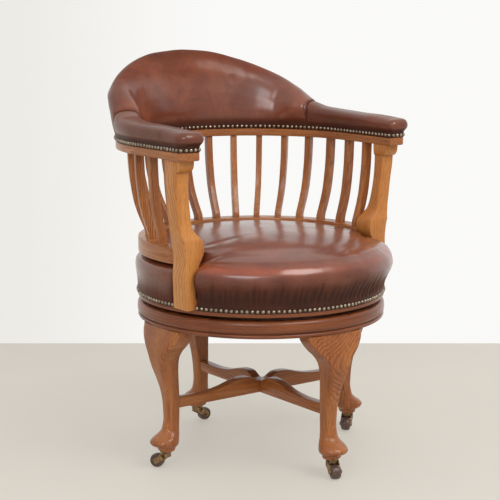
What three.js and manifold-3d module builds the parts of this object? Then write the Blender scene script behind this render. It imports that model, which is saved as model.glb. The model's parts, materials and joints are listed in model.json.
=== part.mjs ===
// Bankers swivel chair: a round upholstered seat with a horseshoe back, turning on a ring with four
// cabriole legs on brass casters. Millimetres, +Z up, the seat faces -Y, the origin is on the floor
// under the middle of the chair's box. One leg stands in front, one behind and one at each side.
import * as THREE from 'three';
import { mergeVertices } from 'three/addons/utils/BufferGeometryUtils.js';
import Module from 'manifold-3d';

const wasm = await Module();
wasm.setup();

// Gaps and counts that the whole chair shares
const fitGap = 0.3;
const runningGap = 0.4;
const cutOverrun = 2;
const mergeTolerance = 0.0003;
const ringSteps = 60;
const halfSteps = 32;
const smallSteps = 16;
const pinSteps = 12;
const cheekEndSteps = 8;
const cornerSteps = 4;

// Casters
const wheelRadius = 14.5;
const wheelWidth = 18.6;
const wheelShoulder = 5;
const wheelBore = 2.75;
// Shares of the half width and of the shoulder, where the tread turns over
const wheelTreadShare = 0.3;
const wheelEdgeShare = 0.72;
const wheelEdgeRiseShare = 0.7;
const axleRadius = 2.4;
const axleHeadRadius = 4;
const axleHeadThickness = 1.3;
const cheekThickness = 2.2;
const cheekGap = 0.6;
const cheekEndRadius = 5.6;
const casterTrail = 19.7;
const yokeHalfLength = 6;
const yokeThickness = 6.5;
const yokeDrop = 12;
const forkDiscRadius = 11.4;
const forkDiscThickness = 2.4;
const forkStemRadius = 3.9;
const forkStemLength = 21;
const socketRadius = 6.4;
const socketLength = 27;
const socketBore = 4.25;
const casterPlateRadius = 13.2;
const casterPlateThickness = 2.6;
const casterHeight = 38.5;

// Base ring, whose radius drives the others: legs, seat frame and rails are set in or out from it
const ringRadius = 260;
const ringWidth = 55;
const ringThickness = 34.7;
const ringBeadHeight = 8.4;
const ringBeadSetback = 1.4;
const grooveDepth = 3.2;
const grooveWidth = 2;
// How high the ring's main band is full, and where its upper edge begins to round over
const ringFullShare = 0.5;
const ringShoulderShare = 0.85;
const ringBore = ringRadius - ringWidth;

// Legs: reaches are measured out from the swivel axis
const legHeight = 258.5;
const legProud = 8;
const legDepth = 53.5;
const legTopHalfWidth = 67;
const legTenonRadius = 9;
const legTenonLength = 14;
const legTenonSetback = 30;
const casterSetback = 26;
const legRingSteps = 16;
const legReach = ringRadius + legProud;
const legInnerFaceReach = legReach - legDepth;
const legTenonCircle = legReach - legTenonSetback;
const casterCircle = legReach - casterSetback;

// Stretchers
const stretcherBottomHeight = 125;
const stretcherDepth = 38;
const stretcherThickness = 21;
const stretcherTenonDepth = 9;

// Bearers and pivot
const bearerWidth = 110;
const bearerThickness = 22;
const bearerHousing = 18;
const swivelGap = 7.4;
const pivotPlateRadius = 75;
const pivotPlateThickness = 3.2;
const pivotBoltRadius = 9.5;
const pivotBore = 10.1;
const boltHeadRadius = 16;
const boltHeadHeight = 7.5;
const boltHeadSideShare = 0.6;
const boltHeadTopShare = 0.75;
const nutRadius = 16;
const nutThickness = 12;
const boltTail = 6;

// Seat frame
const lipSetback = 1.6;
const lipHeight = 8.3;
const lipWidth = 2.6;
const lipUndercutShare = 0.12;
const lipRoundShare = 0.3;
const seatFrameWidth = 50.8;
const seatFrameHeight = 22.6;
const webbingLap = 31;
const webbingStrapWidth = 48;
const webbingPitch = 78;
const webbingStrapThickness = 1.6;
const webbingCrossingShare = 0.9;
const nailBandHeight = 9.3;
const nailBandProud = 0.6;
const lipRadius = ringRadius - lipSetback;
const seatFrameRadius = lipRadius - lipWidth;
const seatFrameBore = seatFrameRadius - seatFrameWidth;
const webbingRadius = seatFrameBore + webbingLap;

// Seat cushion
const cushionHeight = 120.7;
const cushionFrontBulge = 19.5;
const cushionSideBulge = 4.4;
const cushionSteps = 54;

// Lower rail and arm posts
const lowerRailOverhang = 1.2;
const lowerRailWidth = 36.5;
const lowerRailThickness = 32.5;
const lowerRailRise = 85.6;
const railEdgeRound = 2;
const postFront = 102;
const postDepth = 47;
const postHalfThickness = 15;
const postEdgeShare = 0.16;
const postFootSetback = 13;
const lowerRailOuter = seatFrameRadius + lowerRailOverhang;
const lowerRailInner = lowerRailOuter - lowerRailWidth;
const postFootReach = lowerRailOuter - postFootSetback;

// Slats
const slatsEachSide = 8;
const slatWidth = 13;
const slatDepth = 18;
const slatHeight = 179.8;
const slatInset = 3.5;
const slatPostGap = 16.5;
const slatSpreadShare = 0.1;
const slatTopInset = 5;
// The gap between the last slat's top and the post, as a share of the pitch
const slatLastGapShare = 0.575;

// Top rail
const backCentre = 29;
const topRailFlare = 29;
const topRailWidth = 45;
const topRailThickness = 27.6;
const armReach = 132;
const armOuterCorner = 17;
const armInnerCorner = 7;
const railBandHeight = 11.5;
const railBandThickness = 1.5;
const topRailOuter = lowerRailOuter + topRailFlare;
const topRailInner = topRailOuter - topRailWidth;

// Back pad, its board, and the arm pads
const crestHeight = 169;
const seamAngle = THREE.MathUtils.degToRad(66.5);
const backPadOuterBulge = 20;
const crestBoardThickness = 14;
const crestBoardSetback = 4;
const crestCover = 26;
const armPadHeight = 52;
const armPadBulge = 5.5;
const armPadNose = 11;

// Heights that follow from the sizes above
const footTop = casterHeight;
const ringBottom = footTop + legHeight;
const ringTop = ringBottom + ringThickness;
const seatBottom = ringTop + swivelGap;
const lipTop = seatBottom + lipHeight;
const frameTop = lipTop + seatFrameHeight;
const cushionEdge = lipTop + fitGap + nailBandHeight + fitGap;
const lowerRailBottom = lipTop + lowerRailRise;
const lowerRailTop = lowerRailBottom + lowerRailThickness;
const topRailBottom = lowerRailTop + slatHeight;
const topRailTop = topRailBottom + topRailThickness;
const padBottom = topRailTop + fitGap;
const bandRadius = lipRadius + nailBandProud;
const topRailMiddle = (topRailOuter + topRailInner) / 2;

// The chair's box is centred front to back, so the swivel axis stands a little in front of its middle.
const backReach = backCentre + topRailOuter + backPadOuterBulge;
const frontReach = lipRadius + cushionFrontBulge;
const swivelAxisY = (frontReach - backReach) / 2;

// Colours and finishes
const oak = { color: 0xa8703a, roughness: 0.45, metalness: 0 };
const darkOak = { color: 0x6b4526, roughness: 0.6, metalness: 0 };
const leather = { color: 0x6a2c1c, roughness: 0.35, metalness: 0 };
const brass = { color: 0x8a6a34, roughness: 0.4, metalness: 1 };
const iron = { color: 0x3a3836, roughness: 0.6, metalness: 1 };
const wheelBrown = { color: 0x3a241a, roughness: 0.4, metalness: 0 };
const jute = { color: 0xb49a6a, roughness: 0.9, metalness: 0 };

// Geometry tools

// Leaves only merged positions, drops collapsed triangles and turns every face outwards.
function closedBody(geometry) {
  const bare = new THREE.BufferGeometry();
  bare.setAttribute('position', geometry.getAttribute('position').clone());
  if (geometry.index) {
    bare.setIndex(Array.from(geometry.index.array));
  }
  const merged = mergeVertices(bare, mergeTolerance);
  const source = merged.index.array;
  const kept = [];
  for (let i = 0; i < source.length; i += 3) {
    const [a, b, c] = [source[i], source[i + 1], source[i + 2]];
    if (a !== b && b !== c && c !== a) {
      kept.push(a, b, c);
    }
  }
  const position = merged.getAttribute('position');
  const corner = (i) => new THREE.Vector3().fromBufferAttribute(position, i);
  let sixVolumes = 0;
  for (let i = 0; i < kept.length; i += 3) {
    sixVolumes += corner(kept[i]).dot(corner(kept[i + 1]).cross(corner(kept[i + 2])));
  }
  merged.setIndex(sixVolumes < 0 ? kept.reverse() : kept);
  return merged;
}

function toManifold(geometry) {
  const body = closedBody(geometry);
  return new wasm.Manifold(new wasm.Mesh({
    numProp: 3,
    vertProperties: new Float32Array(body.getAttribute('position').array),
    triVerts: new Uint32Array(body.index.array),
  }));
}

function toGeometry(manifold) {
  const mesh = manifold.getMesh();
  const geometry = new THREE.BufferGeometry();
  geometry.setAttribute('position', new THREE.BufferAttribute(new Float32Array(mesh.vertProperties), 3));
  geometry.setIndex(Array.from(mesh.triVerts));
  return geometry;
}

function cut(geometry, ...cutters) {
  return toGeometry(cutters.reduce((rest, cutter) => rest.subtract(toManifold(cutter)), toManifold(geometry)));
}

function join(first, ...others) {
  return toGeometry(others.reduce((whole, other) => whole.add(toManifold(other)), toManifold(first)));
}

// The triangles of a flat ring of points, which runs anticlockwise round the direction `facing`.
function capTriangles(ring, facing) {
  const across = new THREE.Vector3().subVectors(ring[1], ring[0]);
  across.addScaledVector(facing, -across.dot(facing)).normalize();
  const up = new THREE.Vector3().crossVectors(facing, across);
  const outline = ring.map((p) => new THREE.Vector2(p.dot(across), p.dot(up)));
  return THREE.ShapeUtils.triangulateShape(outline, []);
}

function ringNormal(ring) {
  const normal = new THREE.Vector3();
  ring.forEach((p, i) => normal.add(new THREE.Vector3().crossVectors(p, ring[(i + 1) % ring.length])));
  return normal.normalize();
}

// A body through rings of points, which all run the same way round.
function loft(rings, closed = false) {
  const count = rings[0].length;
  const index = [];
  const bands = closed ? rings.length : rings.length - 1;
  for (let band = 0; band < bands; band += 1) {
    const low = band * count;
    const high = ((band + 1) % rings.length) * count;
    for (let i = 0; i < count; i += 1) {
      const next = (i + 1) % count;
      index.push(low + i, low + next, high + next, low + i, high + next, high + i);
    }
  }
  if (!closed) {
    const last = rings.length - 1;
    capTriangles(rings[0], ringNormal(rings[0])).forEach(([a, b, c]) => index.push(a, c, b));
    capTriangles(rings[last], ringNormal(rings[last])).forEach((face) => {
      index.push(...face.map((i) => last * count + i));
    });
  }
  const geometry = new THREE.BufferGeometry();
  const points = rings.flat().flatMap((p) => [p.x, p.y, p.z]);
  geometry.setAttribute('position', new THREE.Float32BufferAttribute(points, 3));
  geometry.setIndex(index);
  return closedBody(geometry);
}

// A turned body: the profile is [radius, height] from the axis or round a closed section.
function turned(profile, steps = smallSteps) {
  const points = profile.map(([radius, height]) => new THREE.Vector2(radius, height));
  return closedBody(new THREE.LatheGeometry(points, steps).rotateX(Math.PI / 2));
}

function turnedRing(section, steps = ringSteps) {
  return turned([...section, section[0]], steps);
}

function rod(radius, bottom, top, steps = smallSteps) {
  return turned([[0, bottom], [radius, bottom], [radius, top], [0, top]], steps);
}

function block(low, high) {
  const size = high.map((value, i) => value - low[i]);
  const middle = high.map((value, i) => (value + low[i]) / 2);
  return closedBody(new THREE.BoxGeometry(...size).translate(...middle));
}

function arc(centreY, radius, from, to, steps) {
  return Array.from({ length: steps + 1 }, (_, i) => {
    const angle = from + ((to - from) * i) / steps;
    return new THREE.Vector2(radius * Math.cos(angle), centreY + radius * Math.sin(angle));
  });
}

function shifted(points, x, y) {
  return points.map((p) => new THREE.Vector2(p.x + x, p.y + y));
}

function atHeight(outline, height) {
  return outline.map((p) => new THREE.Vector3(p.x, p.y, height));
}

function mirrored(geometry) {
  return closedBody(geometry.clone().scale(-1, 1, 1));
}

function lerp(from, to, share) {
  return from + (to - from) * share;
}

function shareAt(table, at) {
  const upper = table.findIndex(([place]) => place >= at);
  if (upper <= 0) {
    return table[upper === 0 ? 0 : table.length - 1][1];
  }
  const [[lowPlace, lowValue], [highPlace, highValue]] = [table[upper - 1], table[upper]];
  return lerp(lowValue, highValue, (at - lowPlace) / (highPlace - lowPlace));
}

// Legs

// Each row: share of the leg's height, outer reach as a share of the leg's reach, inner reach as a share
// of the inner face's reach, half width as a share of the top half width, and how square the section is:
// 2 is round, 8 nearly square.
const legSectionShares = [
  [0, 0.962, 1.047, 0.3, 2],
  [0.03, 0.97, 1.0395, 0.315, 2],
  [0.042, 1.01, 1.0175, 0.405, 2],
  [0.07, 1.03, 1.007, 0.446, 2],
  [0.1, 1.008, 1.0045, 0.42, 2],
  [0.135, 0.958, 0.9958, 0.335, 2],
  [0.168, 0.928, 0.9933, 0.272, 2],
  [0.27, 0.907, 0.9933, 0.227, 2.4],
  [0.39, 0.91, 0.9995, 0.233, 2.8],
  [0.49, 0.925, 1.0095, 0.242, 3.2],
  [0.585, 0.953, 1.022, 0.262, 4],
  [0.68, 0.985, 1.0345, 0.306, 5],
  [0.76, 1, 1.042, 0.39, 6],
  [0.818, 1.002, 1.0408, 0.535, 6.5],
  [0.865, 0.996, 1.0395, 0.72, 7],
  [0.915, 0.987, 1.0395, 0.88, 7],
  [0.965, 0.974, 1.0345, 0.985, 8],
  [1, 0.966, 1.0308, 1, 8],
];

function legBody() {
  const rings = legSectionShares.map(([height, outer, inner, half, square]) => {
    const [outerReach, innerReach] = [outer * legReach, inner * legInnerFaceReach];
    const middle = (outerReach + innerReach) / 2;
    const deep = (outerReach - innerReach) / 2;
    const wide = half * legTopHalfWidth;
    const top = footTop + legHeight - fitGap;
    return Array.from({ length: legRingSteps }, (_, i) => {
      const angle = (2 * Math.PI * (i + 0.5)) / legRingSteps;
      const [c, s] = [Math.cos(angle), Math.sin(angle)];
      const across = wide * Math.sign(s) * Math.abs(s) ** (2 / square);
      const out = middle + deep * Math.sign(c) * Math.abs(c) ** (2 / square);
      const curveBack = (across * across) / (2 * ringRadius);
      return new THREE.Vector3(out - curveBack, across, lerp(footTop, top, height));
    });
  });
  return loft(rings);
}

function legGeometry() {
  const tenon = rod(legTenonRadius, ringBottom - legTenonLength, ringBottom + legTenonLength);
  const socketHole = rod(socketRadius + fitGap, footTop - cutOverrun, footTop + socketLength + fitGap);
  const halfBoard = stretcherThickness / 2 + fitGap;
  const mortise = block(
    [legInnerFaceReach - legTopHalfWidth, -halfBoard, stretcherBottomHeight - fitGap],
    [legInnerFaceReach + stretcherTenonDepth, halfBoard, stretcherBottomHeight + stretcherDepth],
  );
  const whole = join(legBody(), tenon.translate(legTenonCircle, 0, 0));
  return cut(whole, socketHole.translate(casterCircle, 0, 0), mortise);
}

// Stretchers: shares of the half length and of the depth, from the leg to the middle of the board
const stretcherTopShares = [
  [1, 0.58], [0.85, 0.54], [0.72, 0.53], [0.6, 0.57], [0.49, 0.67], [0.38, 0.84], [0.28, 0.98],
  [0.22, 1], [0.165, 0.98], [0.115, 0.86], [0.065, 0.7], [0, 0.69],
];

function stretcherBoard() {
  const half = legInnerFaceReach + stretcherTenonDepth - fitGap;
  const side = stretcherTopShares.map(([along, up]) => new THREE.Vector2(half * along, stretcherDepth * up));
  const otherSide = side.slice(0, -1).reverse().map((p) => new THREE.Vector2(-p.x, p.y));
  const outline = [new THREE.Vector2(-half, 0), new THREE.Vector2(half, 0), ...side, ...otherSide];
  const board = new THREE.ExtrudeGeometry(new THREE.Shape(outline), {
    depth: stretcherThickness, bevelEnabled: false,
  });
  board.rotateX(Math.PI / 2).translate(0, stretcherThickness / 2, stretcherBottomHeight);
  return closedBody(board);
}

// One board keeps its lower half at the crossing and the other its upper half.
function stretcherPair() {
  const middleTop = stretcherTopShares[stretcherTopShares.length - 1][1] * stretcherDepth;
  const halving = stretcherBottomHeight + middleTop / 2;
  const half = stretcherThickness / 2 + fitGap;
  const board = stretcherThickness / 2 + cutOverrun;
  const upper = block([-half, -board, halving], [half, board, ringBottom]);
  const lower = block([-half, -board, 0], [half, board, halving + fitGap]);
  return [cut(stretcherBoard(), upper), cut(stretcherBoard(), lower)];
}

// Base ring with a bead, a groove and a rounded main band
function baseRing() {
  const beadTop = ringBottom + ringBeadHeight;
  const bandBottom = beadTop + grooveWidth;
  const bead = ringRadius - ringBeadSetback;
  const ring = turnedRing([
    [ringBore, ringBottom],
    [bead - grooveDepth, ringBottom],
    [bead, lerp(ringBottom, beadTop, ringFullShare)],
    [bead - grooveDepth, beadTop],
    [ringRadius - ringBeadSetback / 2, bandBottom],
    [ringRadius, lerp(bandBottom, ringTop, ringFullShare)],
    [ringRadius - grooveDepth / 2, lerp(bandBottom, ringTop, ringShoulderShare)],
    [ringRadius - 2 * grooveDepth, ringTop],
    [ringBore, ringTop],
  ]);
  const reach = ringBore + bearerHousing;
  const housing = block(
    [-reach, -bearerWidth / 2 - fitGap, ringTop - bearerThickness - fitGap],
    [reach, bearerWidth / 2 + fitGap, ringTop + cutOverrun],
  );
  const tenonHole = () => rod(
    legTenonRadius + fitGap, ringBottom - cutOverrun, ringBottom + legTenonLength + fitGap,
  );
  const holes = [0, 1, 2, 3].map((quarter) => tenonHole()
    .translate(legTenonCircle, 0, 0)
    .rotateZ((quarter * Math.PI) / 2));
  return cut(ring, housing, ...holes);
}

function bearer(bottom) {
  const reach = ringBore + bearerHousing - fitGap;
  const board = block(
    [-reach, -bearerWidth / 2, bottom],
    [reach, bearerWidth / 2, bottom + bearerThickness - fitGap],
  );
  return cut(board, rod(pivotBore, bottom - cutOverrun, bottom + bearerThickness + cutOverrun));
}

function pivotPlate(bottom) {
  const top = bottom + pivotPlateThickness;
  return turnedRing([
    [pivotBore, bottom], [pivotPlateRadius, bottom], [pivotPlateRadius, top], [pivotBore, top],
  ], halfSteps);
}

// Seat-side parts of the pivot
const lowerPlateBottom = ringTop + fitGap;
const upperPlateBottom = lowerPlateBottom + pivotPlateThickness + fitGap;
const seatBearerBottom = seatBottom;
const seatBearerTop = seatBearerBottom + bearerThickness - fitGap;
const baseBearerBottom = ringTop - bearerThickness;
const nutBottom = baseBearerBottom - fitGap - nutThickness;

function pivotBolt() {
  const headBottom = seatBearerTop + fitGap;
  return turned([
    [0, nutBottom - boltTail], [pivotBoltRadius, nutBottom - boltTail],
    [pivotBoltRadius, headBottom], [boltHeadRadius, headBottom],
    [boltHeadRadius, headBottom + boltHeadHeight * boltHeadSideShare],
    [boltHeadRadius * boltHeadTopShare, headBottom + boltHeadHeight],
    [0, headBottom + boltHeadHeight],
  ]);
}

function pivotNut() {
  const top = nutBottom + nutThickness;
  const six = closedBody(new THREE.CylinderGeometry(nutRadius, nutRadius, nutThickness, 6)
    .rotateX(Math.PI / 2)
    .translate(0, 0, (nutBottom + top) / 2));
  return cut(six, rod(pivotBore - fitGap, nutBottom - cutOverrun, top + cutOverrun));
}

// Seat frame: a ring with a thin bare lip, and an upper part that the leather covers
function seatRing() {
  const ring = turnedRing([
    [seatFrameBore, seatBottom],
    [lipRadius - lipHeight * lipUndercutShare, seatBottom],
    [lipRadius, seatBottom + lipHeight * lipRoundShare],
    [lipRadius, lipTop],
    [seatFrameRadius, lipTop],
    [seatFrameRadius, frameTop],
    [seatFrameBore, frameTop],
  ]);
  const reach = ringBore + bearerHousing;
  const housing = block(
    [-reach, -bearerWidth / 2 - fitGap, seatBottom - cutOverrun],
    [reach, bearerWidth / 2 + fitGap, seatBottom + bearerThickness],
  );
  return cut(ring, housing, postBody(1, fitGap), postBody(-1, fitGap));
}

// Interlaced straps that carry the stuffing
function seatWebbing() {
  const bottom = frameTop + fitGap;
  const strap = (offset, low) => {
    const reach = Math.sqrt(webbingRadius ** 2 - (Math.abs(offset) + webbingStrapWidth / 2) ** 2);
    return block(
      [-reach, offset - webbingStrapWidth / 2, low],
      [reach, offset + webbingStrapWidth / 2, low + webbingStrapThickness],
    );
  };
  const offsets = [-2, -1, 0, 1, 2].map((i) => i * webbingPitch);
  const along = offsets.map((offset) => strap(offset, bottom));
  const upper = bottom + webbingStrapThickness * webbingCrossingShare;
  const across = offsets.map((offset) => strap(offset, upper).rotateZ(Math.PI / 2));
  const webbing = join(along[0], ...along.slice(1), ...across);
  return cut(webbing, postBody(1, fitGap), postBody(-1, fitGap));
}

// Strips behind the nails, in front of the arm posts and behind them
function seatNailBand(from, to) {
  const bottom = lipTop + fitGap;
  const top = bottom + nailBandHeight;
  const inner = (seatFrameRadius + fitGap) / Math.cos((to - from) / (2 * halfSteps));
  const outline = [
    ...arc(0, bandRadius, from, to, halfSteps),
    ...arc(0, inner, to, from, halfSteps),
  ];
  return loft([atHeight(outline, bottom), atHeight(outline, top)]);
}

// Cushion sides, from the nails up to the crown. Each row: share of the way in to the lower rail's
// inner face, bulge share and rise share, where the front is free and where the rail presses it down.
const cushionSideShares = [
  { free: [0, 0, 0], railed: [0, 0, 0] },
  { free: [0, 0.12, 0.12], railed: [0, 0.12, 0.19] },
  { free: [0, 0.52, 0.27], railed: [0, 0.5, 0.43] },
  { free: [0, 0.88, 0.37], railed: [0, 0.85, 0.595] },
  { free: [0, 1, 0.44], railed: [0, 1, 0.705] },
  { free: [0, 0.9, 0.55], railed: [0, 0.7, 0.835] },
  { free: [0, 0.5, 0.66], railed: [0.11, 0.3, 0.93] },
  { free: [0.08, 0, 0.74], railed: [0.44, 0, 0.98] },
  { free: [0.45, 0, 0.785], railed: [0.87, 0, 0.99] },
  { free: [0.88, 0, 0.815], railed: [1, 0, 1] },
];
// Crown: radius as a share of the way out to the lower rail, then the two rise shares
const cushionCrownShares = [
  [0.991, 0.826, 0.84], [0.87, 0.88, 0.885], [0.64, 0.94, 0.94], [0.35, 0.985, 0.985], [0.06, 1, 1],
];
const railedFrom = THREE.MathUtils.degToRad(56);
const railedFully = THREE.MathUtils.degToRad(75);

function cushionRing(freeRadius, freeHeight, railedRadius, railedHeight) {
  return Array.from({ length: cushionSteps }, (_, i) => {
    const angle = (2 * Math.PI * i) / cushionSteps;
    const fromFront = Math.abs(Math.atan2(Math.cos(angle), -Math.sin(angle)));
    const blend = THREE.MathUtils.smoothstep(fromFront, railedFrom, railedFully);
    const radius = lerp(freeRadius, railedRadius, blend);
    const height = lerp(freeHeight, railedHeight, blend);
    return new THREE.Vector3(radius * Math.cos(angle), radius * Math.sin(angle), height);
  });
}

// The cushion sits on the webbing, and its leather comes down round the frame as a thin skirt.
function seatCushion() {
  const underside = frameTop + 4 * fitGap + 2 * webbingStrapThickness;
  const skirt = (seatFrameRadius + fitGap) / Math.cos(Math.PI / cushionSteps);
  const crownRadius = lowerRailInner - 2 * fitGap;
  const railedTop = lowerRailBottom - 2 * fitGap;
  const circle = (radius, height) => cushionRing(radius, height, radius, height);
  const sides = cushionSideShares.map(({ free, railed }) => cushionRing(
    lerp(bandRadius, crownRadius, free[0]) + cushionFrontBulge * free[1],
    cushionEdge + cushionHeight * free[2],
    lerp(bandRadius, crownRadius, railed[0]) + cushionSideBulge * railed[1],
    lerp(cushionEdge, railedTop, railed[2]),
  ));
  const crown = cushionCrownShares.map(([out, free, railed]) => cushionRing(
    crownRadius * out, cushionEdge + cushionHeight * free,
    crownRadius * out, cushionEdge + cushionHeight * railed,
  ));
  const rings = [
    circle(skirt / 2, underside), circle(skirt, underside), circle(skirt, cushionEdge),
    ...sides, ...crown,
  ];
  return cut(loft(rings), postBody(1, 2 * fitGap), postBody(-1, 2 * fitGap));
}

// Lower rail: a horseshoe on the swivel axis, its ends against the backs of the posts
function lowerRail() {
  const endY = fitGap + postDepth - postFront;
  const outline = (inset) => {
    const [outer, inner] = [lowerRailOuter - inset, lowerRailInner + inset];
    const [outerEnd, innerEnd] = [Math.asin(endY / outer), Math.asin(endY / inner)];
    return [
      ...arc(0, outer, outerEnd, Math.PI - outerEnd, halfSteps),
      ...arc(0, inner, Math.PI - innerEnd, innerEnd, halfSteps),
    ];
  };
  return loft([
    atHeight(outline(railEdgeRound), lowerRailBottom),
    atHeight(outline(0), lowerRailBottom + railEdgeRound),
    atHeight(outline(0), lowerRailTop - railEdgeRound),
    atHeight(outline(railEdgeRound), lowerRailTop),
  ]);
}

// Arm posts. Each row: height share, lean share from foot to arm, inner and outer reach as shares of
// half the thickness, then how far the front, the inner back and the outer back stand, as depth shares.
const postSectionShares = [
  [0, 0, 0.8, 0.8, 0, 1, 1],
  [0.139, 0.15, 0.53, 0.57, 0, 1, 1],
  [0.21, 0.18, 0.5, 0.5, 0, 1, 1],
  [0.273, 0.15, 0.93, 0.55, 0, 1, 1],
  [0.32, 0.1, 1.77, 0.65, 0, 1, 1],
  [0.361, 0.1, 2.13, 0.72, 0, 1, 1],
  [0.405, 0.15, 2.3, 0.78, 0, 1, 1],
  [0.432, 0.2, 2.3, 0.8, 0, 1, 1],
  [0.4685, 0.3, 2.1, 0.85, 0, 0.957, 0.957],
  [0.512, 0.4, 1.65, 0.9, 0, 0.87, 0.957],
  [0.58, 0.52, 1.2, 1, 0, 0.745, 0.915],
  [0.68, 0.68, 1, 1.03, 0, 0.64, 0.894],
  [0.78, 0.82, 0.97, 1, 0, 0.6, 0.87],
  [0.893, 0.93, 1, 1, 0, 0.6, 0.87],
  [0.9, 0.95, 1.2, 1.02, -0.085, 0.6, 0.87],
  [0.95, 0.97, 1.27, 1.03, -0.13, 0.6, 0.87],
  [1, 1, 1.35, 1.03, -0.235, 0.6, 0.87],
];

// side is 1 for the post at +X. A grown post is a cutter, which also runs past the ends.
function postBody(side, grow = 0) {
  const [bottom, top] = [lipTop + fitGap, topRailBottom - fitGap];
  const rings = postSectionShares.map(([height, lean, inner, outer, front, backIn, backOut]) => {
    const middle = lerp(postFootReach, topRailMiddle, lean);
    const near = middle - postHalfThickness * inner - grow;
    const far = middle + postHalfThickness * outer + grow;
    const frontY = postDepth * front - postFront - grow;
    const backInY = postDepth * backIn - postFront + grow;
    const backOutY = postDepth * backOut - postFront + grow;
    const past = grow * Math.sign(height - 0.5);
    const level = lerp(bottom, top, height) + (height === 0 || height === 1 ? past : 0);
    const corner = (x, y) => new THREE.Vector3(x, y, level);
    const ease = postHalfThickness * postEdgeShare;
    return [
      corner(near + ease, frontY), corner(far - ease, frontY), corner(far, frontY + ease),
      corner(far, backOutY - ease), corner(far - ease, backOutY),
      corner(near, backInY), corner(near, frontY + ease),
    ];
  });
  const post = loft(rings);
  return side > 0 ? post : mirrored(post);
}

// Slats stand on the lower rail and curve outwards to the top rail.
// Height shares with the lean so far as a share of the whole lean.
const slatLeanShares = [
  [0, 0], [0.07, 0.07], [0.15, 0.22], [0.27, 0.46], [0.4, 0.66], [0.55, 0.8], [0.75, 0.93], [1, 1],
];

// The feet spread out a little towards the arms.
function slatFoot(number) {
  const radius = lowerRailInner + slatInset + slatDepth / 2;
  const sweep = Math.PI / 2 + Math.asin((postFront - postDepth - slatPostGap) / radius);
  const place = number / slatsEachSide;
  const angle = sweep * lerp(place, place ** 3, slatSpreadShare);
  return { x: radius * Math.sin(angle), y: radius * Math.cos(angle), angle };
}

// The tops share out the rail between the middle of the back and the back of the post.
function slatTop(number) {
  const radius = topRailInner + slatTopInset + slatDepth / 2;
  const quarter = (radius * Math.PI) / 2;
  const postTopDepth = postDepth * postSectionShares[postSectionShares.length - 1][5];
  const pitch = (quarter + backCentre + postFront - postTopDepth) / (slatsEachSide + slatLastGapShare);
  const along = Math.abs(number) * pitch;
  const angle = Math.sign(number) * Math.min(along / radius, Math.PI / 2);
  const straight = Math.max(along - quarter, 0);
  return { x: radius * Math.sin(angle), y: backCentre + radius * Math.cos(angle) - straight, angle };
}

function slat(number) {
  const [foot, head] = [slatFoot(number), slatTop(number)];
  const [bottom, top] = [lowerRailTop + fitGap, topRailBottom - fitGap];
  const rings = slatLeanShares.map(([height, lean]) => {
    const angle = lerp(foot.angle, head.angle, height);
    const [x, y] = [lerp(foot.x, head.x, lean), lerp(foot.y, head.y, lean)];
    const corner = (across, out) => new THREE.Vector3(
      x + across * Math.cos(angle) + out * Math.sin(angle),
      y - across * Math.sin(angle) + out * Math.cos(angle),
      lerp(bottom, top, height),
    );
    const [a, b] = [slatWidth / 2, slatDepth / 2];
    return [corner(-a, -b), corner(a, -b), corner(a, b), corner(-a, b)];
  });
  return loft(rings);
}

// The horseshoe outline of the top rail, drawn in by an inset
function horseshoe(inset) {
  const [outer, inner] = [topRailOuter - inset, topRailInner + inset];
  const front = -armReach + inset;
  const [outerCorner, innerCorner] = [armOuterCorner - inset, armInnerCorner - inset];
  const quarter = Math.PI / 2;
  const corner = (radius, from, x) => shifted(arc(0, radius, from, from + quarter, cornerSteps), x, front + radius);
  return [
    ...arc(backCentre, outer, 0, Math.PI, halfSteps),
    ...corner(outerCorner, 2 * quarter, outerCorner - outer),
    ...corner(innerCorner, 3 * quarter, -inner - innerCorner),
    ...arc(backCentre, inner, Math.PI, 0, halfSteps),
    ...corner(innerCorner, 2 * quarter, inner + innerCorner),
    ...corner(outerCorner, 3 * quarter, outer - outerCorner),
  ];
}

// The upper edge is cut back for the strip that the nails go through.
function topRail() {
  const step = topRailTop - railBandHeight;
  const rebate = railBandThickness + fitGap;
  return loft([
    atHeight(horseshoe(railEdgeRound), topRailBottom),
    atHeight(horseshoe(0), topRailBottom + railEdgeRound),
    atHeight(horseshoe(0), step),
    atHeight(horseshoe(rebate), step),
    atHeight(horseshoe(rebate), topRailTop),
  ]);
}

function railNailBand() {
  const strip = new THREE.Shape(horseshoe(-nailBandProud));
  strip.holes.push(new THREE.Path(horseshoe(railBandThickness)));
  const band = new THREE.ExtrudeGeometry(strip, { depth: railBandHeight - fitGap, bevelEnabled: false });
  return closedBody(band.translate(0, 0, topRailTop - railBandHeight + fitGap));
}

// Back pad: its height over the top rail, from the middle of the back to the seam
const crestHeightShares = [
  [0, 1], [0.24, 0.96], [0.376, 0.9], [0.526, 0.81], [0.662, 0.7], [0.797, 0.57], [0.88, 0.475],
  [0.955, 0.375], [1, armPadHeight / crestHeight],
];
// From this share of the way to the seam the back pad draws in to the arm pad's bulge.
const crestTaperShare = 0.72;
const crestSteps = 30;

function crestStations() {
  return Array.from({ length: crestSteps + 1 }, (_, i) => {
    const place = (2 * i) / crestSteps - 1;
    const limit = seamAngle - fitGap / (2 * topRailMiddle);
    const taper = THREE.MathUtils.smoothstep(Math.abs(place), crestTaperShare, 1);
    return {
      angle: place * limit,
      height: crestHeight * shareAt(crestHeightShares, Math.abs(place)),
      bulge: lerp(backPadOuterBulge, armPadBulge, taper),
    };
  });
}

// A point at a radius and height over the top rail, at an angle from the middle of the back
function backPoint(angle, radius, height) {
  return new THREE.Vector3(
    radius * Math.sin(angle),
    backCentre + radius * Math.cos(angle),
    padBottom + height,
  );
}

const boardOuter = topRailOuter - crestBoardSetback;
const boardInner = boardOuter - crestBoardThickness;

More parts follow.
